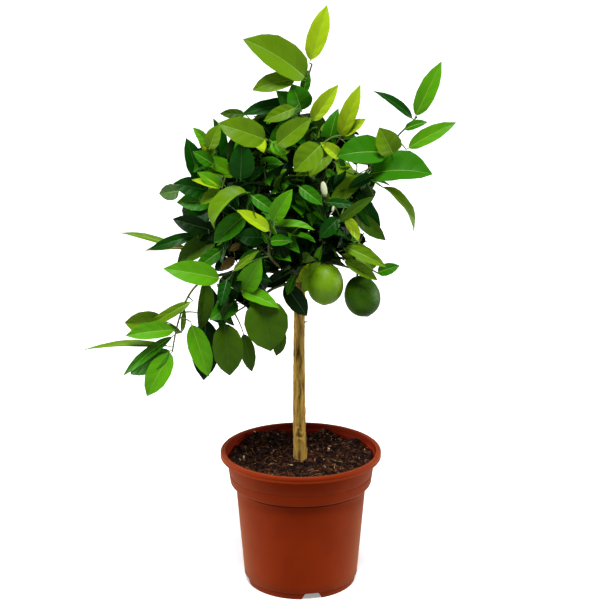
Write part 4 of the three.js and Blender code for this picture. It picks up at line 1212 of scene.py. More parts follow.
def make_mottle_group():
    """Soft patches: a mask from 0 to 1, and a colour mixed between two by it."""
    tree, given, result = new_group(
        "mottle",
        [("Vector", "NodeSocketVector", None), ("Scale", "NodeSocketFloat", 40.0),
         ("Dark", "NodeSocketColor", None), ("Light", "NodeSocketColor", None),
         ("Low", "NodeSocketFloat", 0.35), ("High", "NodeSocketFloat", 0.65)],
        [("Colour", "NodeSocketColor"), ("Mask", "NodeSocketFloat")])
    cloud = put(tree, "ShaderNodeTexNoise",
                {"Vector": given.outputs["Vector"], "Scale": given.outputs["Scale"], "Detail": 6.0})
    mask = put(tree, "ShaderNodeMapRange",
               {"Value": cloud.outputs["Fac"], "From Min": given.outputs["Low"],
                "From Max": given.outputs["High"]})
    mixed = put(tree, "ShaderNodeMix",
                {"Factor": mask.outputs["Result"]}, data_type="RGBA")
    tree.links.new(given.outputs["Dark"], mixed.inputs[6])
    tree.links.new(given.outputs["Light"], mixed.inputs[7])
    tree.links.new(mixed.outputs[2], result.inputs["Colour"])
    tree.links.new(mask.outputs["Result"], result.inputs["Mask"])
    return tree


def make_relief_group():
    """Fine uneven relief, as a normal."""
    tree, given, result = new_group(
        "fine_relief",
        [("Vector", "NodeSocketVector", None), ("Scale", "NodeSocketFloat", 500.0),
         ("Depth", "NodeSocketFloat", 0.0002)],
        [("Normal", "NodeSocketVector"), ("Height", "NodeSocketFloat")])
    cloud = put(tree, "ShaderNodeTexNoise",
                {"Vector": given.outputs["Vector"], "Scale": given.outputs["Scale"], "Detail": 4.0})
    bump = put(tree, "ShaderNodeBump",
               {"Height": cloud.outputs["Fac"], "Distance": given.outputs["Depth"], "Strength": 1.0})
    tree.links.new(bump.outputs["Normal"], result.inputs["Normal"])
    tree.links.new(cloud.outputs["Fac"], result.inputs["Height"])
    return tree


VEIN_SLANT = 0.42
VEIN_ROUNDING = 0.6


def make_vein_group():
    """Side veins that slant from a leaf's midrib to its margin, as a normal."""
    tree, given, result = new_group(
        "leaf_veins",
        [("Chart", "NodeSocketVector", None), ("Count", "NodeSocketFloat", 9.0),
         ("Depth", "NodeSocketFloat", 0.0004)],
        [("Normal", "NodeSocketVector")])
    split = put(tree, "ShaderNodeSeparateXYZ", {"Vector": given.outputs["Chart"]})
    aside = reckon(tree, "ABSOLUTE", reckon(tree, "SUBTRACT", split.outputs["Y"], 0.5))
    run = reckon(tree, "ADD", split.outputs["X"], reckon(tree, "MULTIPLY", aside, -VEIN_SLANT))
    sweep = reckon(tree, "PINGPONG", reckon(tree, "MULTIPLY", run, given.outputs["Count"]), 1.0)
    rounded = reckon(tree, "POWER", sweep, VEIN_ROUNDING)
    bump = put(tree, "ShaderNodeBump",
               {"Height": rounded, "Distance": given.outputs["Depth"], "Strength": 1.0})
    tree.links.new(bump.outputs["Normal"], result.inputs["Normal"])
    return tree


MOTTLE = make_mottle_group()
FINE_RELIEF = make_relief_group()
LEAF_VEINS = make_vein_group()


def new_finish(name, roughness, specular=0.5):
    material = bpy.data.materials.new(name)
    material.use_nodes = True
    shader = material.node_tree.nodes["Principled BSDF"]
    shader.inputs["Roughness"].default_value = roughness
    shader.inputs["Specular IOR Level"].default_value = specular
    return material, material.node_tree, shader


def mottled_finish(name, dark, light, scale, roughness, relief_scale, relief_depth, stretch=(1, 1, 1),
                   low=0.35, high=0.65, specular=0.5):
    """A finish whose colour wanders between two, with fine relief, on the piece's own place."""
    material, tree, shader = new_finish(name, roughness, specular)
    chart = put(tree, "ShaderNodeTexCoord")
    mapped = put(tree, "ShaderNodeMapping", {"Vector": chart.outputs["Object"], "Scale": stretch})
    patches = put(tree, "ShaderNodeGroup", node_tree=MOTTLE)
    tree.links.new(mapped.outputs[0], patches.inputs["Vector"])
    patches.inputs["Scale"].default_value = scale
    patches.inputs["Dark"].default_value = paint(*dark)
    patches.inputs["Light"].default_value = paint(*light)
    patches.inputs["Low"].default_value = low
    patches.inputs["High"].default_value = high
    relief = put(tree, "ShaderNodeGroup", node_tree=FINE_RELIEF)
    tree.links.new(mapped.outputs[0], relief.inputs["Vector"])
    relief.inputs["Scale"].default_value = relief_scale
    relief.inputs["Depth"].default_value = relief_depth
    tree.links.new(patches.outputs["Colour"], shader.inputs["Base Color"])
    tree.links.new(relief.outputs["Normal"], shader.inputs["Normal"])
    return material


def leaf_finish(name, colour, roughness):
    """A plain leaf colour with a soft gloss, and its veins as relief."""
    material, tree, shader = new_finish(name, roughness, 0.1)
    shader.inputs["Base Color"].default_value = paint(*colour)
    chart = put(tree, "ShaderNodeUVMap", uv_map="blade")
    veins = put(tree, "ShaderNodeGroup", node_tree=LEAF_VEINS)
    tree.links.new(chart.outputs["UV"], veins.inputs["Chart"])
    tree.links.new(veins.outputs["Normal"], shader.inputs["Normal"])
    return material


def plain_finish(name, colour, roughness, specular=0.5):
    material, _, shader = new_finish(name, roughness, specular)
    shader.inputs["Base Color"].default_value = paint(*colour)
    return material


# The pot


def spun(outline, sides, angle=2 * math.pi):
    """A closed body turned about the upright middle from an outline of radius and height."""
    shape = bmesh.new()
    start = shape.verts.new((outline[0][0] * MM, 0, outline[0][1] * MM))
    for radius, height in outline[1:]:
        step = bmesh.ops.extrude_vert_indiv(shape, verts=[start])["verts"][0]
        step.co = (radius * MM, 0, height * MM)
        start = step
    bmesh.ops.spin(shape, geom=shape.verts[:] + shape.edges[:], cent=(0, 0, 0), axis=(0, 0, 1),
                   angle=angle, steps=sides, use_merge=True)
    bmesh.ops.remove_doubles(shape, verts=shape.verts, dist=1e-6)
    bmesh.ops.recalc_face_normals(shape, faces=shape.faces)
    return shape


def arc(middle, radius, start, end, steps=6):
    """Points on an arc of an outline, its angles in degrees."""
    turns = [math.radians(start + (end - start) * step / steps) for step in range(steps + 1)]
    return [(middle[0] + radius * math.cos(turn), middle[1] + radius * math.sin(turn)) for turn in turns]


def wall_inside(height):
    share = (height - COLLAR_FOOT_HEIGHT) / (POT_HEIGHT - RIM_DEPTH - COLLAR_FOOT_HEIGHT)
    return COLLAR_FOOT_RADIUS + share * (COLLAR_TOP_RADIUS - COLLAR_FOOT_RADIUS) - POT_WALL


def pot_outline():
    under = POT_HEIGHT - RIM_DEPTH
    line_radius = wall_inside(COLLAR_LINE_HEIGHT) + POT_WALL
    outline = [
        (0, 0), (PAD_RADIUS, 0), (PAD_RADIUS + PAD_SLOPE, FOOT_HEIGHT),
        (FOOT_TOP_RADIUS - FOOT_RING_DEPTH, FOOT_HEIGHT), (FOOT_RADIUS - POT_WALL, EASE),
        (FOOT_RADIUS - POT_WALL + EASE, 0), (FOOT_RADIUS - 0.4, 0), (FOOT_RADIUS, 0.4),
        (FOOT_TOP_RADIUS, FOOT_HEIGHT - EASE), (FOOT_TOP_RADIUS + EASE, FOOT_HEIGHT),
        (BODY_FOOT_RADIUS - 0.4, FOOT_HEIGHT + FOOT_STEP - EASE),
        (BODY_FOOT_RADIUS, FOOT_HEIGHT + FOOT_STEP + EASE),
    ]
    for step in range(1, BODY_RINGS):
        share = step / BODY_RINGS
        outline.append((BODY_FOOT_RADIUS + (SHOULDER_RADIUS - BODY_FOOT_RADIUS) * share,
                        FOOT_HEIGHT + FOOT_STEP + (SHOULDER_HEIGHT - FOOT_HEIGHT - FOOT_STEP) * share))
    outline += [
        (SHOULDER_RADIUS, SHOULDER_HEIGHT - 0.6), (SHOULDER_RADIUS + 0.2, SHOULDER_HEIGHT),
        (SHOULDER_RADIUS + 0.7, SHOULDER_HEIGHT + 0.5), (CHAMFER_RADIUS, CHAMFER_HEIGHT),
        (COLLAR_UNDER_RADIUS, COLLAR_UNDER_HEIGHT), (COLLAR_FOOT_RADIUS - 0.5, COLLAR_FOOT_HEIGHT - 1.2),
        (COLLAR_FOOT_RADIUS, COLLAR_FOOT_HEIGHT), (COLLAR_FOOT_RADIUS + 0.14, COLLAR_FOOT_HEIGHT + 1.2),
        (line_radius - EASE, COLLAR_LINE_HEIGHT - 2.4),
        (line_radius - COLLAR_LINE_DEPTH, COLLAR_LINE_HEIGHT - 1.5), (line_radius, COLLAR_LINE_HEIGHT),
        (COLLAR_TOP_RADIUS - EASE, under - 2.4), (COLLAR_TOP_RADIUS, under - 0.5),
        (COLLAR_TOP_RADIUS + 0.6, under),
    ]
    bead = RIM_LOWER_BEAD
    outline += arc((RIM_RADIUS - bead, under + bead), bead, -90, 50, 6)
    outline += [(RIM_RADIUS - RIM_RECESS, under + 2 * bead + 0.4)]
    bead = RIM_BEAD
    outline += arc((RIM_RADIUS - bead, POT_HEIGHT - bead), bead, -25, 96, 10)
    groove = RIM_RADIUS - bead - 1.2
    outline += [(groove, POT_HEIGHT - RIM_GROOVE), (groove - 0.6, POT_HEIGHT - RIM_GROOVE)]
    outline += arc((RIM_INNER_RADIUS + 1, POT_HEIGHT - 1.2), 1.1, 75, 185, 5)
    outline += [
        (RIM_INNER_RADIUS - 0.2, under + 1), (COLLAR_TOP_RADIUS - POT_WALL, under - 0.6),
        (COLLAR_FOOT_RADIUS - POT_WALL, COLLAR_FOOT_HEIGHT),
        (CHAMFER_RADIUS - POT_WALL, CHAMFER_HEIGHT + POT_WALL / 2),
        (SHOULDER_RADIUS - POT_WALL, SHOULDER_HEIGHT + POT_WALL / 2),
        (BODY_FOOT_RADIUS - POT_WALL, FOOT_HEIGHT + POT_WALL),
        (PAD_RADIUS + PAD_SLOPE - POT_WALL, FOOT_HEIGHT + POT_WALL),
        (PAD_RADIUS - POT_WALL, POT_WALL), (0, POT_WALL),
    ]
    return outline


def cutter(shape, name):
    return in_scene(name, mesh_of(shape, name))


def cut_away(piece, cutters):
    """Takes the cutters out of the piece and keeps the result as its mesh."""
    for tool in cutters:
        cut = piece.modifiers.new(tool.name, "BOOLEAN")
        cut.operation = "DIFFERENCE"
        cut.solver = "EXACT"
        cut.object = tool
    bpy.context.view_layer.update()
    evaluated = piece.evaluated_get(bpy.context.evaluated_depsgraph_get())
    mesh = bpy.data.meshes.new_from_object(evaluated)
    piece.modifiers.clear()
    piece.data = mesh
    for tool in cutters:
        bpy.data.objects.remove(tool, do_unlink=True)


def notch_shape(turn):
    """A block with its upper edges rounded, that cuts one notch into the foot."""
    shape = bmesh.new()
    bmesh.ops.create_cube(shape, size=1)
    for corner in shape.verts:
        upper = corner.co.z > 0
        corner.co.x *= NOTCH_WIDTH * MM * (NOTCH_TOP_WIDTH / NOTCH_WIDTH if upper else NOTCH_FOOT_SPREAD)
        corner.co.y = (corner.co.y * NOTCH_REACH - FOOT_RADIUS) * MM
        corner.co.z = (NOTCH_HEIGHT if upper else -NOTCH_DIP) * MM
    edges = [edge for edge in shape.edges if all(corner.co.z > 0 for corner in edge.verts)
             and abs(edge.verts[0].co.x - edge.verts[1].co.x) < 1e-6]
    bmesh.ops.bevel(shape, geom=edges, offset=NOTCH_ROUNDING * MM, affect="EDGES", segments=3,
                    profile=0.5, material=-1)
    bmesh.ops.rotate(shape, verts=shape.verts, matrix=Matrix.Rotation(turn, 3, "Z"))
    return shape


def drain_shape(turn):
    """A round rod that cuts one drain hole into the base."""
    shape = bmesh.new()
    bmesh.ops.create_cone(shape, cap_ends=True, segments=DRAIN_SIDES, radius1=DRAIN_RADIUS * MM,
                          radius2=DRAIN_RADIUS * MM, depth=6 * POT_WALL * MM)
    offset = Vector((math.cos(turn), math.sin(turn), 0)) * DRAIN_CIRCLE * MM
    offset.z = FOOT_HEIGHT * MM
    bmesh.ops.translate(shape, verts=shape.verts, vec=offset)
    return shape


def make_pot():
    mesh = mesh_of(spun(pot_outline(), POT_SIDES), "pot_shell")
    pot = finish_piece("pot_shell", mesh, pot_plastics(), POT_SHARP_ANGLE)
    # Faces inside the wall and under the collar take the darker finishes: painted shade.
    for face in mesh.polygons:
        spot = face.center / MM
        inward = face.normal.x * spot.x + face.normal.y * spot.y < 0
        inside = inward and spot.z > SHOULDER_HEIGHT and spot.xy.length < RIM_INNER_RADIUS
        in_collar_shade = not inward and SHOULDER_HEIGHT < spot.z < COLLAR_UNDER_HEIGHT
        if inside:
            face.material_index = INSIDE_SHADE_SLOT
        elif in_collar_shade:
            face.material_index = COLLAR_SHADE_SLOT
    cutters = []
    for index in range(NOTCH_COUNT):
        turn = math.radians(NOTCH_TURN + 360 * index / NOTCH_COUNT)
        cutters.append(cutter(notch_shape(turn), f"notch_{index}"))
    for index in range(DRAIN_COUNT):
        turn = 2 * math.pi * (index + 0.5) / DRAIN_COUNT
        cutters.append(cutter(drain_shape(turn), f"drain_{index}"))
    cut_away(pot, cutters)
    return pot


def moulded(name, dark, light, roughness, specular):
    return mottled_finish(name, dark, light, PLASTIC_PATCHES, roughness, PLASTIC_GRAIN,
                          PLASTIC_GRAIN_DEPTH, specular=specular)


def pot_plastics():
    """The plastic seen from outside, and darker copies of it that paint the shade inside the wall and under
    the collar.
    """
    shell = moulded("moulded_plastic", (122, 33, 1), (131, 38, 2), 0.5, 0.03)
    shader = shell.node_tree.nodes["Principled BSDF"]
    shader.inputs["Sheen Weight"].default_value = 0.4
    shader.inputs["Sheen Roughness"].default_value = 0.4
    shader.inputs["Sheen Tint"].default_value = paint(255, 205, 150)
    shaded = moulded("shaded_plastic", (80, 22, 2), (90, 25, 3), 1.0, 0.0)
    inner = moulded("inner_plastic_painted_shade", (112, 27, 5), (120, 31, 6), 0.7, 0.05)
    return [shell, inner, shaded]


# The soil


SOIL_EDGE = wall_inside(SOIL_HEIGHT) - SOIL_EDGE_CLEARANCE

# Where the soil is banked against the wall: turn in degrees, rise and breadth.
BANKS = ((68, 8, 13), (34, 8, 12), (12, 4, 18), (112, 4, 16), (131, 7, 15), (156, 4, 20), (178, 3, 16))
BANK_REACH = 16
# The clods that cover the soil: how close they stand, and their depth.
CLODS = ((0.11, 3.4), (0.34, 1.7), (0.9, 0.7))
CLOD_EDGE = 20


def soil_height(radius, angle):
    """The source's height of the soil, with crumbly unevenness on it."""
    out = max(0.0, (radius - SOIL_SEAT_RADIUS) / (wall_inside(SOIL_HEIGHT) - SOIL_SEAT_RADIUS))
    lumps = math.sin(3 * angle + 0.09 * radius) + math.cos(5 * angle - 0.13 * radius)
    level = SOIL_HEIGHT + SOIL_RISE * out * out + SOIL_LUMP * 0.5 * lumps * min(1, 3 * out)
    spot = Vector((radius * math.cos(angle), radius * math.sin(angle), 3.0))
    clods = sum(noise.noise(spot * closeness) * depth for closeness, depth in CLODS)
    mound = SOIL_MOUND * math.exp(-((radius / SOIL_MOUND_RADIUS) ** 2))
    for turn, rise, breadth in BANKS:
        off = (angle - math.radians(turn) + math.pi) % (2 * math.pi) - math.pi
        span = (off * radius / breadth) ** 2 + ((SOIL_EDGE - radius) / BANK_REACH) ** 2
        mound += rise * math.exp(-span)
    return level + mound + clods * min(1, radius / CLOD_EDGE)


def make_soil():
    shape = bmesh.new()
    ring = bmesh.ops.create_circle(shape, cap_ends=False, segments=SOIL_SIDES, radius=1)["verts"]
    edges = shape.edges[:]
    heights = [(SHOULDER_RADIUS - SOIL_SIDE_CLEARANCE, SHOULDER_HEIGHT),
               (COLLAR_FOOT_RADIUS - SOIL_SIDE_CLEARANCE, COLLAR_FOOT_HEIGHT)]
    rows = [(BODY_FOOT_RADIUS - SOIL_SIDE_CLEARANCE, FOOT_HEIGHT + POT_WALL + GAP)] + heights
    rows += [(SOIL_EDGE * (1 - step / SOIL_RINGS), None) for step in range(SOIL_RINGS)]
    current = ring
    for index, (radius, height) in enumerate(rows):
        if index:
            new = bmesh.ops.extrude_edge_only(shape, edges=edges)["geom"]
            current = [item for item in new if isinstance(item, bmesh.types.BMVert)]
            edges = [item for item in new if isinstance(item, bmesh.types.BMEdge)]
        for corner in current:
            angle = math.atan2(corner.co.y, corner.co.x)
            level = soil_height(radius, angle) if height is None else height
            corner.co = (radius * math.cos(angle) * MM, radius * math.sin(angle) * MM, level * MM)
    bmesh.ops.holes_fill(shape, edges=shape.edges, sides=0)
    bmesh.ops.recalc_face_normals(shape, faces=shape.faces)
    peat = mottled_finish("dark_peat", (18, 10, 8), (66, 37, 23), 160, 1.0, 900, 0.0012,
                          low=0.44, high=0.7, specular=0.1)
    return finish_piece("soil_bed", mesh_of(shape, "soil_bed"), [peat], SMOOTH_ALL_OVER)


def unit_blob(subdivisions):
    """The points and faces of a small round body, to be copied many times."""
    shape = bmesh.new()
    bmesh.ops.create_icosphere(shape, subdivisions=subdivisions, radius=1)
    points = np.array([corner.co[:] for corner in shape.verts])
    faces = [tuple(corner.index for corner in face.verts) for face in shape.faces]
    shape.free()
    return points, faces


def turned_at_random(draws, points):
    turn = Matrix.Rotation(draws.between(0, 2 * math.pi), 3, Vector(draws.any_way()))
    return points @ np.array(turn)


def soil_spot(draws):
    """A spot on the soil, clear of the trunk and the wall."""
    radius = math.sqrt(draws.between(CRUMB_INNER_RADIUS**2, (SOIL_EDGE - 2) ** 2))
    angle = draws.between(0, 2 * math.pi)
    return place((radius * math.cos(angle), radius * math.sin(angle), soil_height(radius, angle)))


def make_crumbs():
    draws = Draws(71)
    pile = Pile()
    points, faces = unit_blob(1)
    for index in range(CRUMB_COUNT):
        size = CRUMB_LEAST + CRUMB_MORE * draws.between(0, 1) ** 3
        size += CLOD_MORE if index < CLOD_COUNT else 0
        rough = points * np.array([[draws.between(*CRUMB_ROUGHNESS)] for _ in points])
        grain = rough * place((1, draws.between(0.5, 1), draws.between(0.4, 0.9))) * size
        slot = 0 if draws.between(0, 1) < DARK_CRUMB_SHARE else 1
        pile.add(turned_at_random(draws, grain) + soil_spot(draws), faces, [slot] * len(faces))
    dark = plain_finish("crumb_dark", (25, 14, 9), 1.0, 0.1)
    brown = plain_finish("crumb_brown", (78, 44, 27), 1.0, 0.1)
    return pile.finish("soil_crumbs", [dark, brown], 20)


def make_fibres():
    draws = Draws(72)
    pile = Pile()
    for _ in range(FIBRE_COUNT):
        middle = soil_spot(draws) + place((0, 0, FIBRE_LIFT))
        run = draws.any_way() * place((1, 1, FIBRE_SLOPE))
        run = unit(run) * draws.between(*FIBRE_REACH)
        line = limb_line(middle - run, middle + run, draws.any_way() * FIBRE_CURL)
        width = draws.between(*FIBRE_WIDTH)
        slot = 0 if draws.between(0, 1) < BROWN_FIBRE_SHARE else 1
        add_tube(pile, line, lambda share, width=width: width * (1 - 0.5 * share), 4, 4, slot)
    brown = plain_finish("fibre_brown", (88, 54, 30), 0.95, 0.1)
    straw = plain_finish("fibre_straw", (140, 104, 66), 0.95, 0.1)
    return pile.finish("soil_fibres", [brown, straw], 40)


def make_chips():
    draws = Draws(73)
    pile = Pile()
    points, faces = unit_blob(1)
    for _ in range(CHIP_COUNT):
        size = draws.between(*CHIP_SIZE)
        chip = points * np.array([[draws.between(*CHIP_ROUGHNESS)] for _ in points])
        chip = chip * place((1, draws.between(*CHIP_WIDTH), CHIP_THICKNESS)) * size
        chance = draws.between(0, 1)
        slot = 0
        if chance < CREAM_CHIP_SHARE:
            slot = 2
        elif chance < PALE_CHIP_SHARE:
            slot = 1
        spot = soil_spot(draws) + place((0, 0, CHIP_LIFT))
        pile.add(turned_at_random(draws, chip) + spot, faces, [slot] * len(faces))
    bark = plain_finish("chip_bark", (96, 62, 44), 0.95)
    tan = plain_finish("chip_tan", (150, 112, 78), 0.95)
    cream = plain_finish("chip_cream", (206, 188, 150), 0.9)
    return pile.finish("soil_chips", [bark, tan, cream], 30)


# Trunk and boughs with their bark

# Knots and scars on the trunk: height, turn from the front towards +X in degrees, how far it
# stands out, and its breadth.
KNOTS = (
    (197, -4, 1.6, 4.4), (191.5, -12, -1.6, 2.2), (199, 9, -1.5, 1.6), (194, 7, 1.3, 2),
    (188, 4, 1.2, 2.4), (189.5, 16, -1.5, 1.7), (202, -14, 1.2, 2), (204, 2, -1.3, 1.5),
    (306.6, -6, 0.9, 2.6), (263, -4, 0.9, 2.4), (243.6, 4, 1.0, 2.6), (352, 40, 0.9, 3),
    (228, 150, 1.1, 3), (281, 205, 1, 3), (330, 120, 0.9, 2.6), (378, 300, 1, 3), (172, 80, 0.8, 3),
)
# The thorn: height, turn from the front, and length.
THORN = (333, 88, 6)
THORN_RADII = (1.5, 0.15)
THORN_ROOT = 2
THORN_RISE = 0.45
# The bark's unevenness: how close it is round the trunk and along it, then its ridges, cracks and
# grain.
BARK_ROUND = 2.6
BARK_ALONG = 0.035
RIDGE_CLOSENESS = 1.6
RIDGE_LEVEL = 0.35
CRACK_CLOSENESS = 2.4
CRACK_WIDTH = 0.12
CRACK_DEPTH = 1.3
CRACK_OFFSET = Vector((9, 3, 1))
GRAIN_CLOSENESS = 6
GRAIN_ALONG = 0.25
GRAIN_DEPTH = 0.12
# Lumps on a bough: how close they are, and their depth.
BOUGH_ALONG = 0.12
BOUGH_LUMPS = ((1.5, 0.22), (5, 0.1))
BOUGH_STEP = 2.5
BOUGH_LEAST_STEPS = 12
BOUGH_SIDES = 16
# How much a bough swells where it leaves its parent, and how far along
COLLAR_SWELL = 0.35
COLLAR_REACH = 4


def bark_relief(middle, angle):
    """How far the bark stands out in millimetres: long upright cracks, ridges and knots."""
    height = middle[2]
    spot = Vector((math.cos(angle) * BARK_ROUND, math.sin(angle) * BARK_ROUND, height * BARK_ALONG))
    ridges = abs(noise.noise(spot * RIDGE_CLOSENESS)) * 2 - RIDGE_LEVEL
    close = Vector((spot.x * CRACK_CLOSENESS, spot.y * CRACK_CLOSENESS, spot.z * RIDGE_CLOSENESS))
    cracks = abs(noise.noise(close + CRACK_OFFSET))
    grain = noise.noise(Vector((spot.x * GRAIN_CLOSENESS, spot.y * GRAIN_CLOSENESS, height * GRAIN_ALONG)))
    relief = FISSURE_DEPTH * ridges + GRAIN_DEPTH * grain
    relief -= FISSURE_DEPTH * CRACK_DEPTH * max(0.0, CRACK_WIDTH - cracks) / CRACK_WIDTH
    for knot_height, turn, out, breadth in KNOTS:
        knot_angle = math.radians(turn) - math.pi / 2
        off = (angle - knot_angle + math.pi) % (2 * math.pi) - math.pi
        span = ((height - knot_height) / breadth) ** 2 + (off * TRUNK_FOOT_RADIUS / breadth) ** 2
        relief += out * math.exp(-span)
    return relief


def limb_body(line, radius_at, steps, sides, level, relief_at):
    """A round limb made from a cylinder whose rings are moved to their places on the line."""
    shape = bmesh.new()
    bmesh.ops.create_cone(shape, cap_ends=True, segments=sides, radius1=1, radius2=1, depth=1)
    upright = [edge for edge in shape.edges if abs(edge.verts[0].co.z - edge.verts[1].co.z) > 0.5]
    bmesh.ops.subdivide_edges(shape, edges=upright, cuts=steps - 1, use_grid_fill=True)
    frames = line_frames(line, steps)
    for corner in shape.verts:
        share = corner.co.z + 0.5
        angle = math.atan2(corner.co.y, corner.co.x)
        middle, across, other = frames[round(share * steps)]
        if level:
            across, other = place((1, 0, 0)), place((0, 1, 0))
        radius = radius_at(share) + relief_at(middle, angle)
        spot = middle + radius * (math.cos(angle) * across + math.sin(angle) * other)
        corner.co = Vector(spot * MM)
    return shape


def make_trunk():
    line, radius_at = LIMBS["trunk"]

    def rounded_radius(share):
        end = max(0.0, share - 1 + TRUNK_END_SHARE) / TRUNK_END_SHARE
        return radius_at(share) * (1 - TRUNK_END_NARROWING * end * end)

    shape = limb_body(line, rounded_radius, TRUNK_STEPS, TRUNK_SIDES, True, bark_relief)
    height, turn, length = THORN
    angle = math.radians(turn) - math.pi / 2
    share = (height - TRUNK_FOOT[2]) / (FORK_HEIGHT - TRUNK_FOOT[2])
    out = Vector((math.cos(angle), math.sin(angle), THORN_RISE)).normalized()
    foot_radius, tip_radius = THORN_RADII
    thorn = bmesh.ops.create_cone(shape, cap_ends=True, segments=10, radius1=foot_radius * MM,
                                  radius2=tip_radius * MM, depth=(length + THORN_ROOT) * MM)["verts"]
    foot = Vector(on_line(line, share) * MM) + out * (radius_at(share) + (length - THORN_ROOT) / 2) * MM
    bmesh.ops.rotate(shape, verts=thorn, matrix=out.to_track_quat("Z", "Y").to_matrix())
    bmesh.ops.translate(shape, verts=thorn, vec=foot)
    bmesh.ops.recalc_face_normals(shape, faces=shape.faces)
    bark = mottled_finish("tan_bark", (86, 63, 20), (178, 142, 64), 260, 0.85, 700, 0.0006,
                          stretch=(1, 1, 0.16), low=0.34, high=0.56, specular=0.15)
    return finish_piece("trunk_bark", mesh_of(shape, "trunk_bark"), [bark], SMOOTH_ALL_OVER)


def make_boughs():
    shape = bmesh.new()
    for index, name in enumerate(BOUGHS):
        line, radius_at = LIMBS[name]
        length = np.linalg.norm(line[2] - line[0])

        def collared(share, radius_at=radius_at, length=length):
            return radius_at(share) * (1 + COLLAR_SWELL * math.exp(-share * length / COLLAR_REACH))

        def relief(middle, angle, index=index):
            spot = Vector(middle) * BOUGH_ALONG + Vector((math.cos(angle), math.sin(angle), index))
            return sum(depth * noise.noise(spot * closeness) for closeness, depth in BOUGH_LUMPS)

        steps = max(BOUGH_LEAST_STEPS, round(length / BOUGH_STEP))
        join_shape(shape, limb_body(line, collared, steps, BOUGH_SIDES, False, relief))
    bmesh.ops.recalc_face_normals(shape, faces=shape.faces)
    bark = mottled_finish("young_bark", (44, 44, 20), (104, 104, 52), 200, 0.75, 700, 0.0004,
                          stretch=(1, 1, 0.5), specular=0.3)
    return finish_piece("bough_bark", mesh_of(shape, "bough_bark"), [bark], 60)


# Twigs and leaves


# Each kind of twig: its radius at the foot and at the tip, its steps and sides, and its finish.
TWIG_FORMS = {
    "stem": (STEM_RADIUS, STEM_RADIUS * 0.6, 14, 8, 0),
    "shoot": (TWIG_RADIUS, TWIG_RADIUS * 0.6, 14, 8, 0),
    "twig": (TWIG_RADIUS * 0.9, TWIG_RADIUS * 0.55, 8, 6, 1),
    "fine twig": (TWIG_RADIUS * 0.7, TWIG_RADIUS * 0.45, 6, 5, 1),
}


def make_twigs():
    pile = Pile()
    for growth in GROWTH.values():
        stem, *shoots = growth["shoots"]
        kinds = (("stem", [stem]), ("shoot", shoots), ("twig", growth["twigs"]),
                 ("fine twig", growth["fine_twigs"]))
        for kind, lines in kinds:
            foot, tip, steps, sides, slot = TWIG_FORMS[kind]
            for line in lines:
                add_tube(pile, line, taper(foot, tip), steps, sides, slot)
    older = mottled_finish("twig_older", (50, 56, 24), (96, 108, 44), 240, 0.6, 900, 0.0002)
    green = mottled_finish("twig_green", (58, 96, 26), (104, 140, 44), 240, 0.5, 900, 0.0001)
    return pile.finish("twigs", [older, green])


# The tint of a seeded leaf is the first whose limit lies above its lightness
TINT_LIMITS = ((0.2, "dark"), (0.48, "deep"), (0.76, "mid"), (0.9, "olive"), (1.08, "bright"))
# How a seeded leaf's lightness, which paints light and shade on it, grows further out, higher up and by
# chance, and what it loses
LIGHT_OUTSIDE = 0.62
LIGHT_HIGH_UP = 0.3
LIGHT_CHANCE = 0.75
LIGHT_LOSS = 0.3
SHADE_DARK_SHARE = 0.7
SHADY_TINTS = ("dark", "deep", "moss")


def seeded_tint(leaf, draws):
    """Leaves further out and higher up are lighter, as painted light, and those deep inside darker, as
    painted shade, with chance in it.
    """
    root, along, upper, length, width = leaf
    middle = root + along * length / 2
    out = np.linalg.norm((middle - CROWN_MIDDLE) / CROWN_RADII)
    high = (middle[2] - CROWN_MIDDLE[2]) / CROWN_RADII[2]
    light = LIGHT_OUTSIDE * out + LIGHT_HIGH_UP * high + LIGHT_CHANCE * draws.between(0, 1) - LIGHT_LOSS
    for limit, tint in TINT_LIMITS:
        if light < limit:
            return tint
    return "yellow"


def make_leaves():
    pile = Pile()
    names = list(TINTS)
    under = len(names)
    draws = Draws(90)
    for growth in GROWTH.values():
        leaves = [(leaf[:5], leaf[5], SHOWN_FORM, leaf[6]) for leaf in growth["shown"]]
        for leaf in growth["seeded"] + growth["fine"]:
            leaves.append((leaf, seeded_tint(leaf, draws), SEEDED_FORM, None))
        # Leaves of the shade pass are mostly dark: painted shade inside the crown.
        for leaf in growth["shade"]:
            tint = "dark" if draws.between(0, 1) < SHADE_DARK_SHARE else "deep"
            leaves.append((leaf, tint, SEEDED_FORM, None))
        for leaf, tint, form, bend in leaves:
            # Leaves in shady tints take darker copies of the underside and rib: painted shade.
            shade = 1 if tint in SHADY_TINTS else 0
            slots = (names.index(tint), under + shade, under + 2 + shade)
            add_leaf(pile, leaf, form, bend or draws.between(*LEAF_BENDS), draws, slots)
    finishes = [leaf_finish(f"leaf_{name}", colour, 0.4) for name, colour in TINTS.items()]
    finishes.append(leaf_finish("leaf_under", (84, 124, 34), 0.6))
    finishes.append(leaf_finish("leaf_under_painted_shade", (44, 76, 22), 0.6))
    finishes.append(plain_finish("leaf_rib", (132, 176, 48), 0.5))
    finishes.append(plain_finish("leaf_rib_painted_shade", (54, 98, 26), 0.5))
    return pile.finish("leaves", finishes, 55)


# Fruit and blossom


def hanging(shape, top, clock):
    """Hangs a body that was made downwards from its top."""
    along, _ = leaf_pose(clock, 0, 0)
    turn = Vector((0, 0, -1)).rotation_difference(Vector(along))
    bmesh.ops.rotate(shape, verts=shape.verts, matrix=turn.to_matrix())
    bmesh.ops.translate(shape, verts=shape.verts, vec=Vector(place(top) * MM))


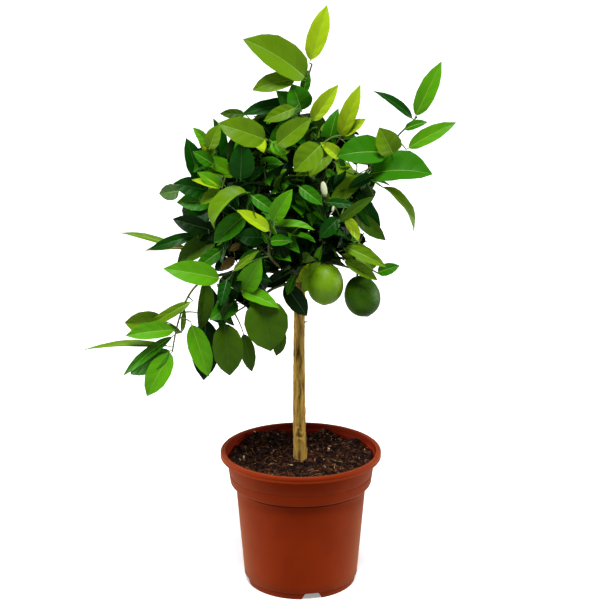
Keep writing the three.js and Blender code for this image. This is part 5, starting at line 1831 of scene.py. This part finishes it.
def fruit_body():
    """An egg fuller towards its tip, with a small nipple there and a dimple at its stalk."""
    shape = bmesh.new()
    bmesh.ops.create_uvsphere(shape, u_segments=56, v_segments=36, radius=1)
    for corner in shape.verts:
        turn = math.acos(max(-1.0, min(1.0, -corner.co.z)))
        angle = math.atan2(corner.co.y, corner.co.x)
        fullness = math.sin(turn) * (1 + FRUIT_NECK * math.cos(turn))
        fullness *= 1 + FRUIT_LOBE_DEPTH * math.cos(FRUIT_LOBES * angle + 1)
        height = -FRUIT_LENGTH / 2 * (1 + math.cos(turn))
        height -= NIPPLE_LENGTH * math.exp(-((turn / NIPPLE_BREADTH) ** 2)) - NIPPLE_LENGTH
        height -= DIMPLE_DEPTH * math.exp(-(((math.pi - turn) / DIMPLE_BREADTH) ** 2))
        corner.co = (FRUIT_RADIUS * fullness * math.cos(angle) * MM,
                     FRUIT_RADIUS * fullness * math.sin(angle) * MM, height * MM)
    return shape


def fruit_peel(name, dark, light, specular):
    return mottled_finish(name, dark, light, PEEL_PATCHES, PEEL_ROUGHNESS, PEEL_GRAIN, PEEL_GRAIN_DEPTH,
                          low=0.3, high=0.7, specular=specular)


def make_fruits():
    whole = bmesh.new()
    for index, (_, top, clock) in enumerate(FRUITS):
        shape = fruit_body()
        for face in shape.faces:
            face.material_index = index
        for corner in shape.verts:
            if corner.co.z < (-FRUIT_LENGTH + FRUIT_TIP_DEPTH) * MM:
                for face in corner.link_faces:
                    face.material_index = 2
        hanging(shape, top, clock)
        join_shape(whole, shape)
    finishes = [
        fruit_peel("peel_light", (88, 134, 4), (126, 166, 14), 0.22),
        fruit_peel("peel_dark", (30, 66, 0), (58, 98, 4), 0.1),
        plain_finish("fruit_nipple", (40, 34, 16), 0.8),
    ]
    return finish_piece("fruits", mesh_of(whole, "fruits"), finishes, SMOOTH_ALL_OVER)


def make_stalks():
    pile = Pile()
    shoot = GROWTH["crown_fruit"]["shoots"][0]
    for share, top, clock in FRUITS:
        start = on_line(shoot, share)
        end = place(top) + place((0, 0, -STALK_DEPTH))
        add_tube(pile, limb_line(start, end, place((0, 0, 0))), lambda _: STALK_RADIUS, 4, 8, 0)
        along, _ = leaf_pose(clock, 0, 0)
        behind, ahead = CALYX_REACH
        cup = limb_line(place(top) - along * behind, place(top) + along * ahead, place((0, 0, 0)))
        add_tube(pile, cup, taper(*CALYX_RADII), 3, 10, 1)
    green = plain_finish("stalk_green", (84, 112, 40), 0.6)
    calyx = plain_finish("calyx", (70, 92, 36), 0.7)
    return pile.finish("fruit_stalks", [green, calyx])


# The buds: where each hangs, its clock angle, and its size against a full one. The last is told by
# its share of the first shoot of crown_middle.
BUDS = (((28, -88, 510), 100, 1.2), ((36, -88, 492), 80, 0.5))
SHOOT_BUD = (0.9, -120, 0.5)


def make_buds():
    whole = bmesh.new()
    share, *rest = SHOOT_BUD
    last = (on_line(GROWTH["crown_middle"]["shoots"][0], share), *rest)
    for spot, clock, size in (*BUDS, last):
        shape = bmesh.new()
        bmesh.ops.create_uvsphere(shape, u_segments=20, v_segments=14, radius=1)
        for corner in shape.verts:
            turn = math.acos(max(-1.0, min(1.0, -corner.co.z)))
            angle = math.atan2(corner.co.y, corner.co.x)
            lobes = 1 + BUD_LOBE_DEPTH * math.cos(BUD_LOBES * angle)
            radius = BUD_RADIUS * size * math.sin(turn) * lobes
            corner.co = (radius * math.cos(angle) * MM, radius * math.sin(angle) * MM,
                         -BUD_LENGTH * size / 2 * (1 + math.cos(turn)) * MM)
        for face in shape.faces:
            in_cup = face.calc_center_median().z > -BUD_LENGTH * size * BUD_CUP_SHARE * MM
            face.material_index = 1 if in_cup else 0
        hanging(shape, spot, clock)
        join_shape(whole, shape)
    petal = plain_finish("bud_petal", (206, 214, 170), 0.6)
    cup = plain_finish("bud_cup", (120, 150, 60), 0.6)
    return finish_piece("buds", mesh_of(whole, "buds"), [petal, cup], SMOOTH_ALL_OVER)


# Camera, floor and light: sizes in metres, the lens in millimetres, and angles in degrees

FLOOR_RADIUS = 40
FLOOR_BOUNCE = 0.45
FLOOR_GLOW = 0.3
SENSOR_WIDTH = 36
LENS = 97.45
CAMERA_TILT = 74.614
CLIP_END = 50
WORLD_STRENGTH = 0.2
SUN_STRENGTH = 3.55
SUN_TILT = 24
SUN_SPREAD = 24
SIDE_LIGHT_SIZE = 0.9
SIDE_LIGHT_DEPTH = 0.25
SIDE_LIGHT_HEIGHT = 0.5
SIDE_LIGHT_AIM = (0, 0, 0.2)
# The lights at the sides: name, place along X in metres, and power.
SIDE_LIGHTS = (("left_side", -1.6, 22), ("right_side", 1.6, 18))


def make_camera():
    data = bpy.data.cameras.new("camera")
    data.sensor_width = SENSOR_WIDTH
    data.lens = LENS
    data.clip_end = CLIP_END
    camera = in_scene("camera", data)
    camera.location = EYE * MM
    camera.rotation_euler = (math.radians(CAMERA_TILT), 0, 0)
    bpy.context.scene.camera = camera


def make_floor():
    shape = bmesh.new()
    bmesh.ops.create_circle(shape, cap_ends=True, segments=96, radius=FLOOR_RADIUS)
    mesh = mesh_of(shape, "floor")
    floor = in_scene("floor", mesh)
    material, _, shader = new_finish("pale_floor", 0.9, 0.2)
    paths = put(material.node_tree, "ShaderNodeLightPath")
    tone = put(material.node_tree, "ShaderNodeMapRange",
               {"Value": paths.outputs["Is Camera Ray"], "To Min": FLOOR_BOUNCE, "To Max": 0.98})
    material.node_tree.links.new(tone.outputs["Result"], shader.inputs["Base Color"])
    glow = reckon(material.node_tree, "MULTIPLY", paths.outputs["Is Camera Ray"], FLOOR_GLOW)
    material.node_tree.links.new(glow, shader.inputs["Emission Strength"])
    mesh.materials.append(material)


def add_sky():
    """Soft light from above, tilted to the side shown."""
    data = bpy.data.lights.new("soft_sky", "SUN")
    data.energy = SUN_STRENGTH
    data.angle = math.radians(SUN_SPREAD)
    in_scene("soft_sky", data).rotation_euler = (math.radians(SUN_TILT), 0, 0)


def add_soft_light(name, spot, aim, size, power):
    data = bpy.data.lights.new(name, "AREA")
    data.shape = "DISK"
    data.size = size
    data.energy = power
    light = in_scene(name, data)
    light.location = spot
    light.rotation_euler = (Vector(aim) - Vector(spot)).to_track_quat("-Z", "Y").to_euler()


def make_light():
    world = bpy.data.worlds.new("studio")
    world.use_nodes = True
    world.node_tree.nodes["Background"].inputs["Color"].default_value = (1, 1, 1, 1)
    world.node_tree.nodes["Background"].inputs["Strength"].default_value = WORLD_STRENGTH
    bpy.context.scene.world = world
    add_sky()
    for name, aside, power in SIDE_LIGHTS:
        spot = (aside, SIDE_LIGHT_DEPTH, SIDE_LIGHT_HEIGHT)
        add_soft_light(name, spot, SIDE_LIGHT_AIM, SIDE_LIGHT_SIZE, power)
    bpy.context.scene.view_settings.view_transform = "Standard"


make_camera()
make_floor()
make_light()

pieces = {
    "pot": make_pot(),
    "soil": make_soil(),
    "crumbs": make_crumbs(),
    "fibres": make_fibres(),
    "chips": make_chips(),
    "trunk": make_trunk(),
    "boughs": make_boughs(),
    "twigs": make_twigs(),
    "leaves": make_leaves(),
    "fruits": make_fruits(),
    "stalks": make_stalks(),
    "buds": make_buds(),
}
for piece in pieces.values():
    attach(piece, "root")
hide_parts("pot")
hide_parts("soil")
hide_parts("trunk")
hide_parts(*BOUGHS)
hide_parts(*MASSES)
